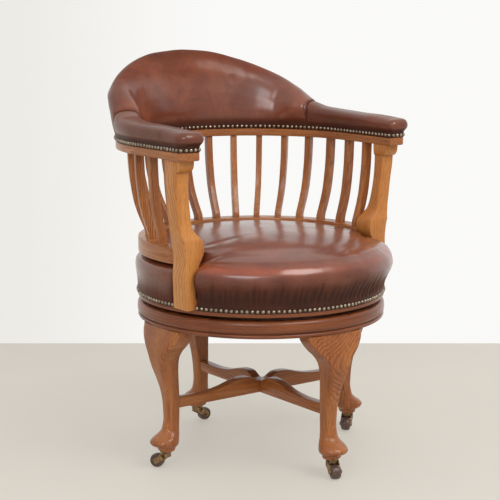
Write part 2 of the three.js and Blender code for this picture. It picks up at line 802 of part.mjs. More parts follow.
function boardSection(angle, top, gap) {
  return [
    backPoint(angle, boardOuter + gap, 0), backPoint(angle, boardOuter + gap, top + gap),
    backPoint(angle, boardInner - gap, top + gap), backPoint(angle, boardInner - gap, 0),
  ];
}

function crestBoard() {
  const rings = crestStations().map(({ angle, height }) => {
    return boardSection(angle, height - crestCover, 0);
  });
  return loft(rings);
}

// The pad's section: share across from the rail's inner to its outer face, bulge share and height share
const backPadSectionShares = [
  [0, -0.05, 0], [0, -0.17, 0.1], [0, -0.05, 0.25], [0, 0.12, 0.4], [0.04, 0.25, 0.55],
  [0.12, 0.3, 0.72], [0.26, 0.3, 0.87], [0.45, 0.32, 0.965], [0.66, 0.4, 1], [0.88, 0.5, 0.965],
  [1, 0.68, 0.88], [1, 1, 0.74], [1, 0.88, 0.58], [1, 0.5, 0.4], [1, 0.2, 0.18], [1, 0.02, 0],
];

function backPad() {
  const width = topRailOuter - topRailInner;
  const rings = crestStations().map(({ angle, height, bulge }) => {
    const skin = backPadSectionShares.map(([across, out, up]) => backPoint(
      angle,
      topRailInner + width * across + bulge * out,
      height * up,
    ));
    return [...skin, ...boardSection(angle, height - crestCover, fitGap)];
  });
  return loft(rings);
}

// Arm pads: shares of the length from the seam to the front, with the height share there
const armPadHeightShares = [
  [0, 1], [0.05, 0.9], [0.136, 0.79], [0.39, 0.69], [0.78, 0.62], [1, 0.55],
];
// Shares of half the width and of the height, round the dome from the outer edge to the inner one
const armPadSectionShares = [
  [1, 0], [1, 0.28], [0.98, 0.52], [0.84, 0.78], [0.52, 0.94], [0, 1],
  [-0.52, 0.94], [-0.84, 0.78], [-0.98, 0.52], [-1, 0.28], [-1, 0],
];
// The nose: how far it has come forward, with the width and height left there
const armNoseShares = [
  [0, 1, 1], [0.4, 0.985, 0.98], [0.7, 0.93, 0.93], [0.9, 0.8, 0.82], [1, 0.58, 0.62],
];
const armPadArcSteps = 6;
const armPadStraightSteps = 4;

function armPadStations() {
  const start = seamAngle + fitGap / (2 * topRailMiddle);
  const bend = Math.PI / 2 - start;
  const straight = backCentre + armReach - armOuterCorner;
  const whole = topRailMiddle * bend + straight;
  const stations = [];
  for (let i = 0; i < armPadArcSteps; i += 1) {
    const angle = start + (bend * i) / armPadArcSteps;
    stations.push({ angle, forward: 0, place: (topRailMiddle * (angle - start)) / whole });
  }
  for (let i = 0; i <= armPadStraightSteps; i += 1) {
    const forward = (straight * i) / armPadStraightSteps;
    stations.push({ angle: Math.PI / 2, forward, place: (topRailMiddle * bend + forward) / whole });
  }
  return stations.map((station) => ({ ...station, wide: 1, high: 1 }));
}

function armPad() {
  const stations = armPadStations();
  const last = stations[stations.length - 1];
  const noseLength = armOuterCorner + armPadNose;
  armNoseShares.slice(1).forEach(([forward, wide, high]) => {
    stations.push({ ...last, forward: last.forward + noseLength * forward, wide, high });
  });
  const halfWidth = (topRailOuter - topRailInner) / 2;
  const rings = stations.map(({ angle, forward, place, wide, high }) => {
    const height = armPadHeight * shareAt(armPadHeightShares, place) * high;
    return armPadSectionShares.map(([across, up]) => {
      const bulge = Math.min(up / armPadSectionShares[2][1], 1) * armPadBulge;
      const out = (halfWidth + bulge) * across * wide;
      const point = backPoint(angle, topRailMiddle + out, height * up);
      return point.setY(point.y - forward);
    });
  });
  return loft(rings);
}

// Casters: the stem stands on the local Z axis, and the wheel trails towards local +X.
const forkTop = casterHeight - fitGap - casterPlateThickness - runningGap;
const yokeTop = forkTop - forkDiscThickness / 2;
const yokeHalfWidth = wheelWidth / 2 + cheekGap + cheekThickness;

function casterPlate() {
  const top = casterHeight - fitGap;
  const bottom = top - casterPlateThickness;
  return turnedRing([
    [socketBore, bottom], [casterPlateRadius, bottom], [casterPlateRadius, top],
    [socketRadius, top], [socketRadius, top + socketLength], [socketBore, top + socketLength],
  ], smallSteps);
}

function cheekOutline() {
  const bottom = yokeTop - yokeDrop;
  const slope = Math.atan2(casterTrail + yokeHalfLength, yokeTop - wheelRadius);
  const end = arc(wheelRadius, cheekEndRadius, slope - Math.PI, slope, cheekEndSteps);
  return new THREE.Shape([
    new THREE.Vector2(-yokeHalfLength, yokeTop),
    new THREE.Vector2(-yokeHalfLength, bottom),
    ...shifted(end, casterTrail, 0),
    new THREE.Vector2(yokeHalfLength, yokeTop),
  ]);
}

function casterFork() {
  const disc = rod(forkDiscRadius, forkTop - forkDiscThickness, forkTop);
  const stem = rod(forkStemRadius, forkTop - forkDiscThickness / 2, forkTop + forkStemLength);
  const yoke = block(
    [-yokeHalfLength, -yokeHalfWidth, yokeTop - yokeThickness],
    [yokeHalfLength, yokeHalfWidth, yokeTop],
  );
  const cheek = (y) => closedBody(
    new THREE.ExtrudeGeometry(cheekOutline(), { depth: cheekThickness, bevelEnabled: false })
      .rotateX(Math.PI / 2)
      .translate(0, y, 0),
  );
  const fork = join(disc, stem, yoke, cheek(yokeHalfWidth), cheek(cheekThickness - yokeHalfWidth));
  const eye = rod(axleRadius + fitGap, -2 * yokeHalfWidth, 2 * yokeHalfWidth, pinSteps);
  return cut(fork, eye.rotateX(Math.PI / 2).translate(casterTrail, 0, wheelRadius));
}

function casterAxle() {
  const inner = yokeHalfWidth + fitGap;
  const outer = inner + axleHeadThickness;
  return turned([
    [0, -outer], [axleHeadRadius, -outer], [axleHeadRadius, -inner], [axleRadius, -inner],
    [axleRadius, inner], [axleHeadRadius, inner], [axleHeadRadius, outer], [0, outer],
  ], pinSteps).rotateX(Math.PI / 2);
}

function casterWheel() {
  const half = wheelWidth / 2;
  const shoulder = wheelRadius - wheelShoulder;
  const edge = lerp(shoulder, wheelRadius, wheelEdgeRiseShare);
  return turnedRing([
    [wheelBore, -half], [shoulder, -half], [edge, half * -wheelEdgeShare],
    [wheelRadius, half * -wheelTreadShare], [wheelRadius, half * wheelTreadShare],
    [edge, half * wheelEdgeShare], [shoulder, half], [wheelBore, half],
  ], smallSteps).rotateX(Math.PI / 2);
}

// Assembly
const chair = new THREE.Group();
chair.name = 'bankers_swivel_chair';
const base = new THREE.Group();
const seat = new THREE.Group();
base.position.set(0, swivelAxisY, 0);
seat.position.set(0, swivelAxisY, 0);
chair.add(base, seat);

function addPiece(group, name, geometry, finish) {
  const piece = new THREE.Mesh(closedBody(geometry), new THREE.MeshStandardMaterial(finish));
  piece.name = name;
  group.add(piece);
  return piece;
}

// Where each leg stands, and the way its caster trails, as turns about the swivel axis
const legPlaces = [
  { side: 'front', turn: -90, trail: -111 },
  { side: 'left', turn: 180, trail: 120 },
  { side: 'right', turn: 0, trail: -139 },
  { side: 'back', turn: 90, trail: 6 },
].map(({ side, turn, trail }) => ({
  side,
  turn: THREE.MathUtils.degToRad(turn),
  trail: THREE.MathUtils.degToRad(trail),
}));

const leg = legGeometry();
legPlaces.forEach(({ side, turn, trail }) => {
  addPiece(base, `leg_${side}`, leg, oak).rotation.z = turn;
  const caster = new THREE.Group();
  caster.position.set(casterCircle * Math.cos(turn), casterCircle * Math.sin(turn), 0);
  caster.rotation.z = trail;
  base.add(caster);
  addPiece(caster, `caster_plate_${side}`, casterPlate(), brass);
  addPiece(caster, `caster_fork_${side}`, casterFork(), brass);
  addPiece(caster, `caster_axle_${side}`, casterAxle(), brass).position.set(casterTrail, 0, wheelRadius);
  addPiece(caster, `caster_wheel_${side}`, casterWheel(), wheelBrown)
    .position.set(casterTrail, 0, wheelRadius);
});

const [longStretcher, crossStretcher] = stretcherPair();
addPiece(base, 'stretcher_long', longStretcher, oak);
addPiece(base, 'stretcher_cross', crossStretcher, oak).rotation.z = Math.PI / 2;
addPiece(base, 'base_ring', baseRing(), oak);
addPiece(base, 'base_bearer', bearer(baseBearerBottom), darkOak);
addPiece(base, 'pivot_plate_lower', pivotPlate(lowerPlateBottom), iron);

addPiece(seat, 'pivot_plate_upper', pivotPlate(upperPlateBottom), iron);
addPiece(seat, 'seat_bearer', bearer(seatBearerBottom), darkOak);
addPiece(seat, 'pivot_bolt', pivotBolt(), iron);
addPiece(seat, 'pivot_nut', pivotNut(), iron);
addPiece(seat, 'seat_ring', seatRing(), oak);
addPiece(seat, 'seat_webbing', seatWebbing(), jute);
addPiece(seat, 'seat_cushion', seatCushion(), leather);

const frontBandEnd = Math.asin((postFront + 2 * fitGap) / seatFrameRadius);
const rearBandEnd = Math.asin((postFront - postDepth - 2 * fitGap) / bandRadius);
addPiece(seat, 'seat_nail_band_front', seatNailBand(frontBandEnd - Math.PI, -frontBandEnd), brass);
addPiece(seat, 'seat_nail_band_rear', seatNailBand(-rearBandEnd, Math.PI + rearBandEnd), brass);

addPiece(seat, 'arm_post_left', postBody(-1), oak);
addPiece(seat, 'arm_post_right', postBody(1), oak);
addPiece(seat, 'lower_rail', lowerRail(), oak);
for (let number = -slatsEachSide; number <= slatsEachSide; number += 1) {
  const order = String(number + slatsEachSide + 1).padStart(2, '0');
  addPiece(seat, `slat_${order}`, slat(number), oak);
}
addPiece(seat, 'top_rail', topRail(), oak);
addPiece(seat, 'rail_nail_band', railNailBand(), brass);
addPiece(seat, 'crest_board', crestBoard(), darkOak);
addPiece(seat, 'back_pad', backPad(), leather);
addPiece(seat, 'arm_pad_right', armPad(), leather);
addPiece(seat, 'arm_pad_left', mirrored(armPad()), leather);

export default chair;
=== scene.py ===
"""Bankers swivel chair: the oak, leather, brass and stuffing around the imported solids."""
import json
import math
from bisect import bisect_right
from functools import cache

import bmesh
import bpy
from bpy.props import FloatProperty, FloatVectorProperty, IntProperty, PointerProperty
from mathutils import Matrix, Vector, noise
from mathutils.kdtree import KDTree


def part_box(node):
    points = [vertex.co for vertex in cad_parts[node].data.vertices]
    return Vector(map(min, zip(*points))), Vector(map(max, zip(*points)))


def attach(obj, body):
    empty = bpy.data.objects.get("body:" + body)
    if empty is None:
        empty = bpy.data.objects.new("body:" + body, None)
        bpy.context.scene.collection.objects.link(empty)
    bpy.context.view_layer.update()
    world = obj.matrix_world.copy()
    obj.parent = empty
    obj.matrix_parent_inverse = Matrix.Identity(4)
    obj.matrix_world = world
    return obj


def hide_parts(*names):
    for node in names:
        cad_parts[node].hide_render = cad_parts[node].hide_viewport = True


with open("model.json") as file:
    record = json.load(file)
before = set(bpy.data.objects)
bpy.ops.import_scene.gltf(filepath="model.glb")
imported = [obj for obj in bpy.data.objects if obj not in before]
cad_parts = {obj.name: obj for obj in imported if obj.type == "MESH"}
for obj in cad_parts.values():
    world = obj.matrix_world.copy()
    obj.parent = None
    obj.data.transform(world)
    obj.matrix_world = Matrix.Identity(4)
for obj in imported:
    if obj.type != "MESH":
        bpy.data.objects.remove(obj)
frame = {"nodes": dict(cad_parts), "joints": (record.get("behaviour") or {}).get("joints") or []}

bl_info = {
    "name": "Bankers Swivel Chair",
    "version": (1, 0, 0),
    "blender": (4, 5, 0),
    "location": "View3D > Sidebar > Chair",
    "description": "Models and finishes a leather and oak swivel chair around its frame of solids",
    "category": "Add Mesh",
}

TURN = 2 * math.pi
QUARTER = math.pi / 2
MM = 0.001

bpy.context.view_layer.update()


# Places and sizes that the frame gives

def axis_of(joint_name):
    return next(j for j in frame["joints"] if j["name"] == joint_name)


@cache
def depth_of(node):
    """The lowest and the highest level of a node."""
    low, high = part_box(node)
    return low.z, high.z


@cache
def reach_of(node):
    """Half the width of a node that is alike on both sides."""
    low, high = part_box(node)
    return (high.x - low.x) / 2


AXIS_Y = axis_of("seat_swivel")["pos_m"][1]
SIDES = {"front": -QUARTER, "left": math.pi, "right": 0.0, "back": QUARTER}


# Sizes and colours that a user would change

def length(name, description, default):
    return FloatProperty(name=name, description=description, default=default, unit="LENGTH", precision=4)


def share(name, description, default):
    return FloatProperty(name=name, description=description, default=default, min=0.0, max=1.0)


def colour(name, description, default):
    return FloatVectorProperty(name=name, description=description, default=default, size=3,
                               subtype="COLOR", min=0.0, max=1.0)


class ChairWoodSettings(bpy.types.PropertyGroup):
    """Oak parts."""
    ring_light: colour("Ring oak, light", "Early wood of the rings", (0.29, 0.1, 0.034))
    ring_dark: colour("Ring oak, dark", "Late wood of the rings", (0.13, 0.042, 0.016))
    leg_light: colour("Leg oak, light", "Early wood of the legs", (0.46, 0.2, 0.066))
    leg_dark: colour("Leg oak, dark", "Late wood of the legs", (0.23, 0.08, 0.024))
    post_light: colour("Post oak, light", "Early wood of the arm posts", (0.6, 0.295, 0.09))
    post_dark: colour("Post oak, dark", "Late wood of the arm posts", (0.4, 0.18, 0.055))
    slat_light: colour("Slat oak, light", "Early wood of the slats", (0.5, 0.235, 0.09))
    slat_dark: colour("Slat oak, dark", "Late wood of the slats", (0.23, 0.09, 0.034))
    edge_round: length("Edge", "Radius worn on the edges of boards", 1.6 * MM)


class ChairLeatherSettings(bpy.types.PropertyGroup):
    """Hand-coloured leather."""
    body: colour("Leather", "Main colour of the hide", (0.155, 0.036, 0.0155))
    worn: colour("Worn leather", "Rubbed, lighter places", (0.235, 0.064, 0.029))
    # The dark colour: dark near the nails, and painted shade in folds, under the seat's bulge, beside the
    # posts and in the back's seams
    shade: colour("Antiqued leather", "Dark colour near nails and in folds", (0.036, 0.013, 0.0085))
    front_band: colour("Rubbed edge", "Red where the dye is worn along the seat's front", (0.3, 0.052, 0.014))
    gather_depth: length("Gathers", "Depth of the gathers low on the seat's front", 3.0 * MM)
    crown_ripple: length("Ripples", "Unevenness of the stuffing", 1.1 * MM)


class ChairNailSettings(bpy.types.PropertyGroup):
    """Upholstery nails."""
    radius: length("Head", "Radius of a nail's head", 3.8 * MM)
    dome: length("Dome", "Height of a nail's head", 2.9 * MM)
    seat_pitch: length("Seat pitch", "Distance between nails round the seat", 10.4 * MM)
    rail_pitch: length("Rail pitch", "Distance between nails round the back", 10.4 * MM)
    brass: colour("Nail brass", "Colour of the aged brass", (0.45, 0.385, 0.29))


class ChairStageSettings(bpy.types.PropertyGroup):
    """Floor, wall, lamps and camera."""
    floor: colour("Floor", "Colour of the floor", (0.72, 0.685, 0.615))
    wall: colour("Wall", "Colour of the wall", (0.955, 0.95, 0.935))
    wall_distance: length("Wall distance", "From the chair to the wall", 0.93)
    world_strength: FloatProperty(name="Sky", description="Strength of the even light", default=0.68)
    key_power: FloatProperty(name="Window", description="Power of the window's light", default=32.0,
                             subtype="POWER")
    fill_power: FloatProperty(name="Fill", description="Power of the fill light", default=17.0,
                              subtype="POWER")
    side_power: FloatProperty(name="Side", description="Power of the light from the right", default=36.0,
                              subtype="POWER")
    lens: FloatProperty(name="Lens", description="Focal length", default=105.6, subtype="DISTANCE_CAMERA")


# Curves through listed rows

SOFTENING_SAMPLES = 9


def slopes(places, values):
    """Slopes that pass through the values without overshooting them."""
    steps = [
        (values[i + 1] - values[i]) / (places[i + 1] - places[i]) for i in range(len(values) - 1)
    ]
    inner = [
        0.0 if a * b <= 0 else 2 * a * b / (a + b) for a, b in zip(steps, steps[1:])
    ]
    return [steps[0], *inner, steps[-1]]


def eased(rows, at):
    """The values at a place, on a smooth curve through rows that each start with their place."""
    places = [row[0] for row in rows]
    low = min(max(bisect_right(places, at) - 1, 0), len(rows) - 2)
    span = places[low + 1] - places[low]
    t = min(max((at - places[low]) / span, 0.0), 1.0)
    found = []
    for column in range(1, len(rows[0])):
        values = [row[column] for row in rows]
        bend = slopes(places, values)
        a, b = values[low], values[low + 1]
        found.append(
            (2 * t ** 3 - 3 * t ** 2 + 1) * a + (t ** 3 - 2 * t ** 2 + t) * span * bend[low]
            + (3 * t ** 2 - 2 * t ** 3) * b + (t ** 3 - t ** 2) * span * bend[low + 1]
        )
    return found


def softened(rows, at, reach):
    """The first value at a place, averaged over what lies within a reach of it, so no row shows."""
    total = 0.0
    for i in range(SOFTENING_SAMPLES):
        spot = abs(at + reach * (2 * i / (SOFTENING_SAMPLES - 1) - 1))
        total += eased(rows, spot)[0]
    return total / SOFTENING_SAMPLES


def numbered(rows):
    """Rows with their number, as a share of the way through, put before their values."""
    return [[i / (len(rows) - 1), *row] for i, row in enumerate(rows)]


def spaced(count):
    """Shares from 0 to 1 at an even pitch."""
    return [i / (count - 1) for i in range(count)]


def mix(a, b, t):
    return a + (b - a) * t


def smooth(at, low, high):
    t = min(max((at - low) / (high - low), 0.0), 1.0)
    return t * t * (3 - 2 * t)


def around(angle, radius, level, centre_y):
    """A point at an angle from the middle of the back, turning towards +X."""
    return Vector((radius * math.sin(angle), centre_y + radius * math.cos(angle), level))


# Mesh tools

def start_loop(bm, points):
    """A closed loop of edges through a few points."""
    corners = [bm.verts.new(p) for p in points]
    for i, corner in enumerate(corners):
        bm.edges.new((corner, corners[(i + 1) % len(corners)]))
    return corners


def drawn_on(bm, corners, points, closed=True):
    """Extrudes a row of corners once and puts the new ones at the points."""
    count = len(corners)
    pairs = zip(corners, corners[1:] + corners[:1]) if closed else zip(corners, corners[1:])
    edges = [bm.edges.get(pair) for pair in pairs]
    made = bmesh.ops.extrude_edge_only(bm, edges=edges)["geom"]
    fresh = {part for part in made if isinstance(part, bmesh.types.BMVert)}
    row = [None] * count
    for i, corner in enumerate(corners):
        row[i] = next(e.other_vert(corner) for e in corner.link_edges if e.other_vert(corner) in fresh)
    for corner, point in zip(row, points):
        corner.co = point
    return row


def loft(sections):
    """A closed body through loops of points that all run the same way round."""
    bm = bmesh.new()
    row = start_loop(bm, sections[0])
    for section in sections[1:]:
        row = drawn_on(bm, row, section)
    bmesh.ops.holes_fill(bm, edges=[e for e in bm.edges if e.is_boundary], sides=0)
    bmesh.ops.recalc_face_normals(bm, faces=bm.faces)
    return bm


def slab(points, way):
    """A board: a flat outline and how far it is pushed."""
    bm = bmesh.new()
    face = bm.faces.new([bm.verts.new(p) for p in points])
    made = bmesh.ops.extrude_face_region(bm, geom=[face])["geom"]
    moved = [v for v in made if isinstance(v, bmesh.types.BMVert)]
    bmesh.ops.translate(bm, vec=way, verts=moved)
    bmesh.ops.recalc_face_normals(bm, faces=bm.faces)
    return bm


def worn(bm, edges, radius):
    """Rounds edges, as use has rounded them."""
    bmesh.ops.bevel(bm, geom=edges, offset=radius, offset_type="OFFSET", segments=3, profile=0.5,
                    affect="EDGES", material=-1, clamp_overlap=True)


def spun(profile, steps):
    """A body turned about the swivel axis from a closed profile of (radius, level) pairs."""
    bm = bmesh.new()
    add_spun(bm, profile, steps, Matrix.Translation((0, AXIS_Y, 0)))
    return bm


def add_spun(bm, profile, steps, place):
    """Adds a turned body, made about its own Z axis, at a place."""
    part = bmesh.new()
    start_loop(part, [(radius, 0, level) for radius, level in profile])
    geometry = list(part.verts) + list(part.edges)
    bmesh.ops.spin(part, geom=geometry, cent=(0, 0, 0), axis=(0, 0, 1), angle=TURN, steps=steps,
                   use_merge=True, use_duplicate=False)
    bmesh.ops.remove_doubles(part, verts=part.verts, dist=0.01 * MM)
    bmesh.ops.dissolve_degenerate(part, edges=part.edges, dist=0.005 * MM)
    bmesh.ops.recalc_face_normals(part, faces=part.faces)
    add_part(bm, part, place)


def add_part(bm, part, place):
    """Moves a finished part to its place and joins it to a body."""
    bmesh.ops.transform(part, matrix=place, verts=part.verts)
    mesh = bpy.data.meshes.new("part")
    part.to_mesh(mesh)
    part.free()
    bm.from_mesh(mesh)
    bpy.data.meshes.remove(mesh)


def rounded(points, radius, segments=3):
    """A closed outline of points with its corners rounded, each by the third value it has or the radius."""
    outline = []
    count = len(points)
    for i, point in enumerate(points):
        corner = Vector(point[:2])
        own = radius if len(point) < 3 else point[2]
        before = Vector(points[i - 1][:2]) - corner
        after = Vector(points[(i + 1) % count][:2]) - corner
        reach = min(own, before.length * 0.49, after.length * 0.49)
        if reach <= 0:
            outline.append((corner.x, corner.y))
            continue
        a = corner + before.normalized() * reach
        b = corner + after.normalized() * reach
        for step in range(segments + 1):
            t = step / segments
            spot = a * (1 - t) ** 2 + corner * 2 * t * (1 - t) + b * t ** 2
            outline.append((spot.x, spot.y))
    return outline


def arc(centre_x, centre_y, radius, start, end, steps):
    """Points on an arc, from one angle to another."""
    return [
        (centre_x + radius * math.cos(mix(start, end, i / steps)),
         centre_y + radius * math.sin(mix(start, end, i / steps)))
        for i in range(steps + 1)
    ]


def finished(name, bm, body, slot, replaced, materials, sharp=35):
    """Makes a piece of a mesh, which rides on a body and stands for its CAD nodes."""
    mesh = bpy.data.meshes.new(name)
    bm.to_mesh(mesh)
    bm.free()
    for surface in materials:
        mesh.materials.append(surface)
    mesh.shade_smooth()
    mesh.set_sharp_from_angle(angle=math.radians(sharp))
    piece = bpy.data.objects.new(name, mesh)
    bpy.context.scene.collection.objects.link(piece)
    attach(piece, body)
    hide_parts(*replaced)
    return piece


# How far the grain of one glued segment is shifted against the next
SEGMENT_SHIFT = 0.413
# How far a ring's or rail's grain is shifted upwards, so that no two look cut from one board
GRAIN_SHIFTS = {"seat_ring": -0.2, "lower_rail": 0.5, "top_rail": -0.3}
# Lengths of the glued segments of the two rails
RAIL_SEGMENTS = {"lower_rail": 0.29, "top_rail": 0.44}


def lay_grain(piece, place, whole_turn=0.0, segment=0.0):
    """Writes where each corner lies in the wood: along the grain, then across it both ways."""
    mesh = piece.data
    attribute = mesh.attributes.new("grain", "FLOAT_VECTOR", "CORNER")
    values = []
    for polygon in mesh.polygons:
        middle = place(polygon.center)
        shift = SEGMENT_SHIFT * math.floor(middle[0] / segment) if segment else 0.0
        for index in polygon.vertices:
            along, across, up = place(mesh.vertices[index].co)
            if whole_turn:
                along -= whole_turn * round((along - middle[0]) / whole_turn)
            values.extend((along + shift, across, up + shift))
    attribute.data.foreach_set("vector", values)


def paint(piece, name, value_at):
    """Writes one number for each vertex, which a material reads."""
    mesh = piece.data
    attribute = mesh.attributes.new(name, "FLOAT", "POINT")
    attribute.data.foreach_set("value", [value_at(v.co) for v in mesh.vertices])


def reshaped(piece, spots):
    """Moves each of a piece's points to its new spot."""
    for vert, spot in zip(piece.data.vertices, spots):
        vert.co = spot


CLOTH_FRAMES = 20
CLOTH_PRESSURE = 4.0
# Points with less give than this are held, and those with more than the other are free
HELD_GIVE = 0.04
FREE_GIVE = 0.9
# How many voxels of the cloth each point of a pad looks at
CLOTH_REACH = 2.6


def swollen(piece, give, cap, voxel):
    """Lets cloth swell over a pad, and moves the pad's points as the cloth's have moved.

    How far a point may go is its give, from 0 at the nails to 1, times the cap. The even part of the
    swelling is taken off again, so the pad keeps its size and gets its unevenness.
    """
    scene = bpy.context.scene
    cloth = bpy.data.objects.new("cloth", piece.data.copy())
    scene.collection.objects.link(cloth)
    remesh = cloth.modifiers.new("remesh", "REMESH")
    remesh.mode = "VOXEL"
    remesh.voxel_size = voxel
    skin = bpy.data.meshes.new_from_object(cloth.evaluated_get(bpy.context.evaluated_depsgraph_get()))
    cloth.modifiers.clear()
    cloth.data = skin
    before = [v.co.copy() for v in skin.vertices]
    held = cloth.vertex_groups.new(name="held")
    held.add([v.index for v in skin.vertices if give(v.co) < HELD_GIVE], 1.0, "REPLACE")
    swell = cloth.modifiers.new("swell", "CLOTH")
    swell.settings.vertex_group_mass = held.name
    swell.settings.use_pressure = True
    swell.settings.uniform_pressure_force = CLOTH_PRESSURE
    swell.settings.effector_weights.gravity = 0
    swell.settings.quality = 3
    for number in range(1, CLOTH_FRAMES + 1):
        scene.frame_set(number)
    after = bpy.data.meshes.new_from_object(cloth.evaluated_get(bpy.context.evaluated_depsgraph_get()))
    moves = [b.co - a for a, b in zip(before, after.vertices)]
    moves = [m * (cap / (cap + m.length)) for m in moves]
    tree = KDTree(len(before))
    for index, co in enumerate(before):
        tree.insert(co, index)
    tree.balance()
    found = []
    for vert in piece.data.vertices:
        move, weight = Vector(), 1e-9
        for _, index, distance in tree.find_range(vert.co, CLOTH_REACH * voxel):
            near = (1 - distance / (CLOTH_REACH * voxel)) ** 2
            move += moves[index] * near
            weight += near
        found.append(move / weight)
    loose = [give(v.co) for v in piece.data.vertices]
    outward = [m.dot(v.normal) for m, v, w in zip(found, piece.data.vertices, loose) if w > FREE_GIVE]
    even = sum(outward) / max(len(outward), 1)
    reshaped(piece, [v.co + (m - v.normal * even) * w for v, m, w in zip(piece.data.vertices, found, loose)])
    scene.frame_set(1)
    bpy.data.objects.remove(cloth)
    bpy.data.meshes.remove(after)


# Materials

def feed(tree, socket, value):
    """Links a socket to another node's output, or sets it to a number or a colour."""
    if isinstance(value, bpy.types.NodeSocket):
        tree.links.new(value, socket)
    else:
        socket.default_value = (*value, 1.0) if socket.type == "RGBA" and len(value) == 3 else value


def add(tree, kind, inputs=None, **settings):
    """Adds a shader node; an input is a value or another node's output."""
    node = tree.nodes.new(kind)
    for key, value in settings.items():
        setattr(node, key, value)
    for key, value in (inputs or {}).items():
        feed(tree, node.inputs[key], value)
    return node


def new_material(name, **shader_values):
    """An empty material with one shader, whose even values are set on its own sockets."""
    surface = bpy.data.materials.new(name)
    surface.use_nodes = True
    tree = surface.node_tree
    tree.nodes.clear()
    shader = add(tree, "ShaderNodeBsdfPrincipled", shader_values)
    add(tree, "ShaderNodeOutputMaterial", {"Surface": shader.outputs["BSDF"]})
    return surface, tree, shader


def surfaced(tree, shader, tint, roughness, relief, strength, depth):
    """Links a shader's colour, its roughness and the relief of its surface."""
    tree.links.new(tint, shader.inputs["Base Color"])
    tree.links.new(roughness, shader.inputs["Roughness"])
    bump = add(tree, "ShaderNodeBump", {"Height": relief, "Strength": strength, "Distance": depth})
    tree.links.new(bump.outputs["Normal"], shader.inputs["Normal"])


def object_place(tree):
    return add(tree, "ShaderNodeTexCoord").outputs["Object"]


def attribute(tree, name, output="Fac"):
    return add(tree, "ShaderNodeAttribute", attribute_name=name).outputs[output]


def stretched(tree, vector, scale, turn=(0, 0, 0), shift=(0, 0, 0)):
    return add(tree, "ShaderNodeMapping", {
        "Vector": vector, "Scale": scale, "Rotation": turn, "Location": shift,
    }).outputs["Vector"]


def cloud(tree, vector, detail=3.0, scale=1.0, roughness=0.5, distortion=0.0):
    return add(tree, "ShaderNodeTexNoise", {
        "Vector": vector, "Scale": scale, "Detail": detail, "Roughness": roughness,
        "Distortion": distortion,
    }).outputs["Fac"]


def wave(tree, vector, scale, distortion, detail, detail_scale, **settings):
    return add(tree, "ShaderNodeTexWave", {
        "Vector": vector, "Scale": scale, "Distortion": distortion, "Detail": detail,
        "Detail Scale": detail_scale,
    }, **settings).outputs["Fac"]


def between(tree, value, low, high, to_low=0.0, to_high=1.0):
    return add(tree, "ShaderNodeMapRange", {
        "Value": value, "From Min": low, "From Max": high, "To Min": to_low, "To Max": to_high,
    }, interpolation_type="SMOOTHSTEP").outputs["Result"]


def mixed(tree, factor, first, second, how="MIX"):
    """Mixes two colours, each a tuple or an output."""
    node = add(tree, "ShaderNodeMix", {0: factor, 6: first, 7: second}, data_type="RGBA", blend_type=how)
    return node.outputs[2]


def sums(tree, operation, first, second):
    return add(tree, "ShaderNodeMath", {0: first, 1: second}, operation=operation).outputs[0]


def times(tree, first, second):
    return sums(tree, "MULTIPLY", first, second)


def darker(tint, share):
    return tuple(share * c for c in tint)


def oak_material(name, light, dark, figure, gloss):
    """Open-grained oak: growth rings, long pores, ray flecks and a worn wax polish."""
    surface, tree, shader = new_material(name, **{
        "Coat Weight": 0.5, "Coat Roughness": 0.18, "IOR": 1.5, "Specular IOR Level": 0.15,
    })
    grain = attribute(tree, "grain", "Vector")

    def along_grain(stretch, detail):
        return cloud(tree, stretched(tree, grain, stretch), detail)

    tilt, pith = (0, 0.055, 0.045), (0, 0.045, 0.062)
    rings = wave(tree, stretched(tree, grain, (1, 1, 1), tilt, pith), 118.0, 3.2, 2.0, 0.35,
                 wave_type="RINGS", rings_direction="X")
    late = between(tree, rings, 0.55, 0.97)
    streaks = along_grain((7, 330, 330), 4.0)
    pores = between(tree, along_grain((55, 1500, 1500), 2.0), 0.56, 0.68)
    pores = times(tree, pores, between(tree, rings, 0.25, 0.75, 0.35, 1.0))
    flecks = between(tree, along_grain((60, 620, 70), 1.0), 0.6, 0.7)
    tone = between(tree, along_grain((4, 22, 22), 2.0), 0.3, 0.7, 0.0, 0.4)
    faint = between(tree, along_grain((5, 60, 60), 2.0), 0.35, 0.65, 0.3, 0.85)
    middle = tuple(mix(a, b, 0.5) for a, b in zip(light, dark))
    wood = mixed(tree, between(tree, streaks, 0.36, 0.66), light, middle)
    wood = mixed(tree, times(tree, late, faint), wood, dark)
    wood = mixed(tree, times(tree, flecks, 0.4 * figure), wood, light)
    wood = mixed(tree, times(tree, pores, 0.72), wood, darker(dark, 0.45))
    wood = mixed(tree, tone, wood, middle, "MULTIPLY")
    wood = mixed(tree, 0.35, wood, light, "SOFT_LIGHT")
    surfaced(tree, shader, wood, between(tree, streaks, 0.25, 0.75, gloss, gloss + 0.2),
             sums(tree, "SUBTRACT", times(tree, streaks, 0.35), pores), 0.35, 0.25 * MM)
    return surface


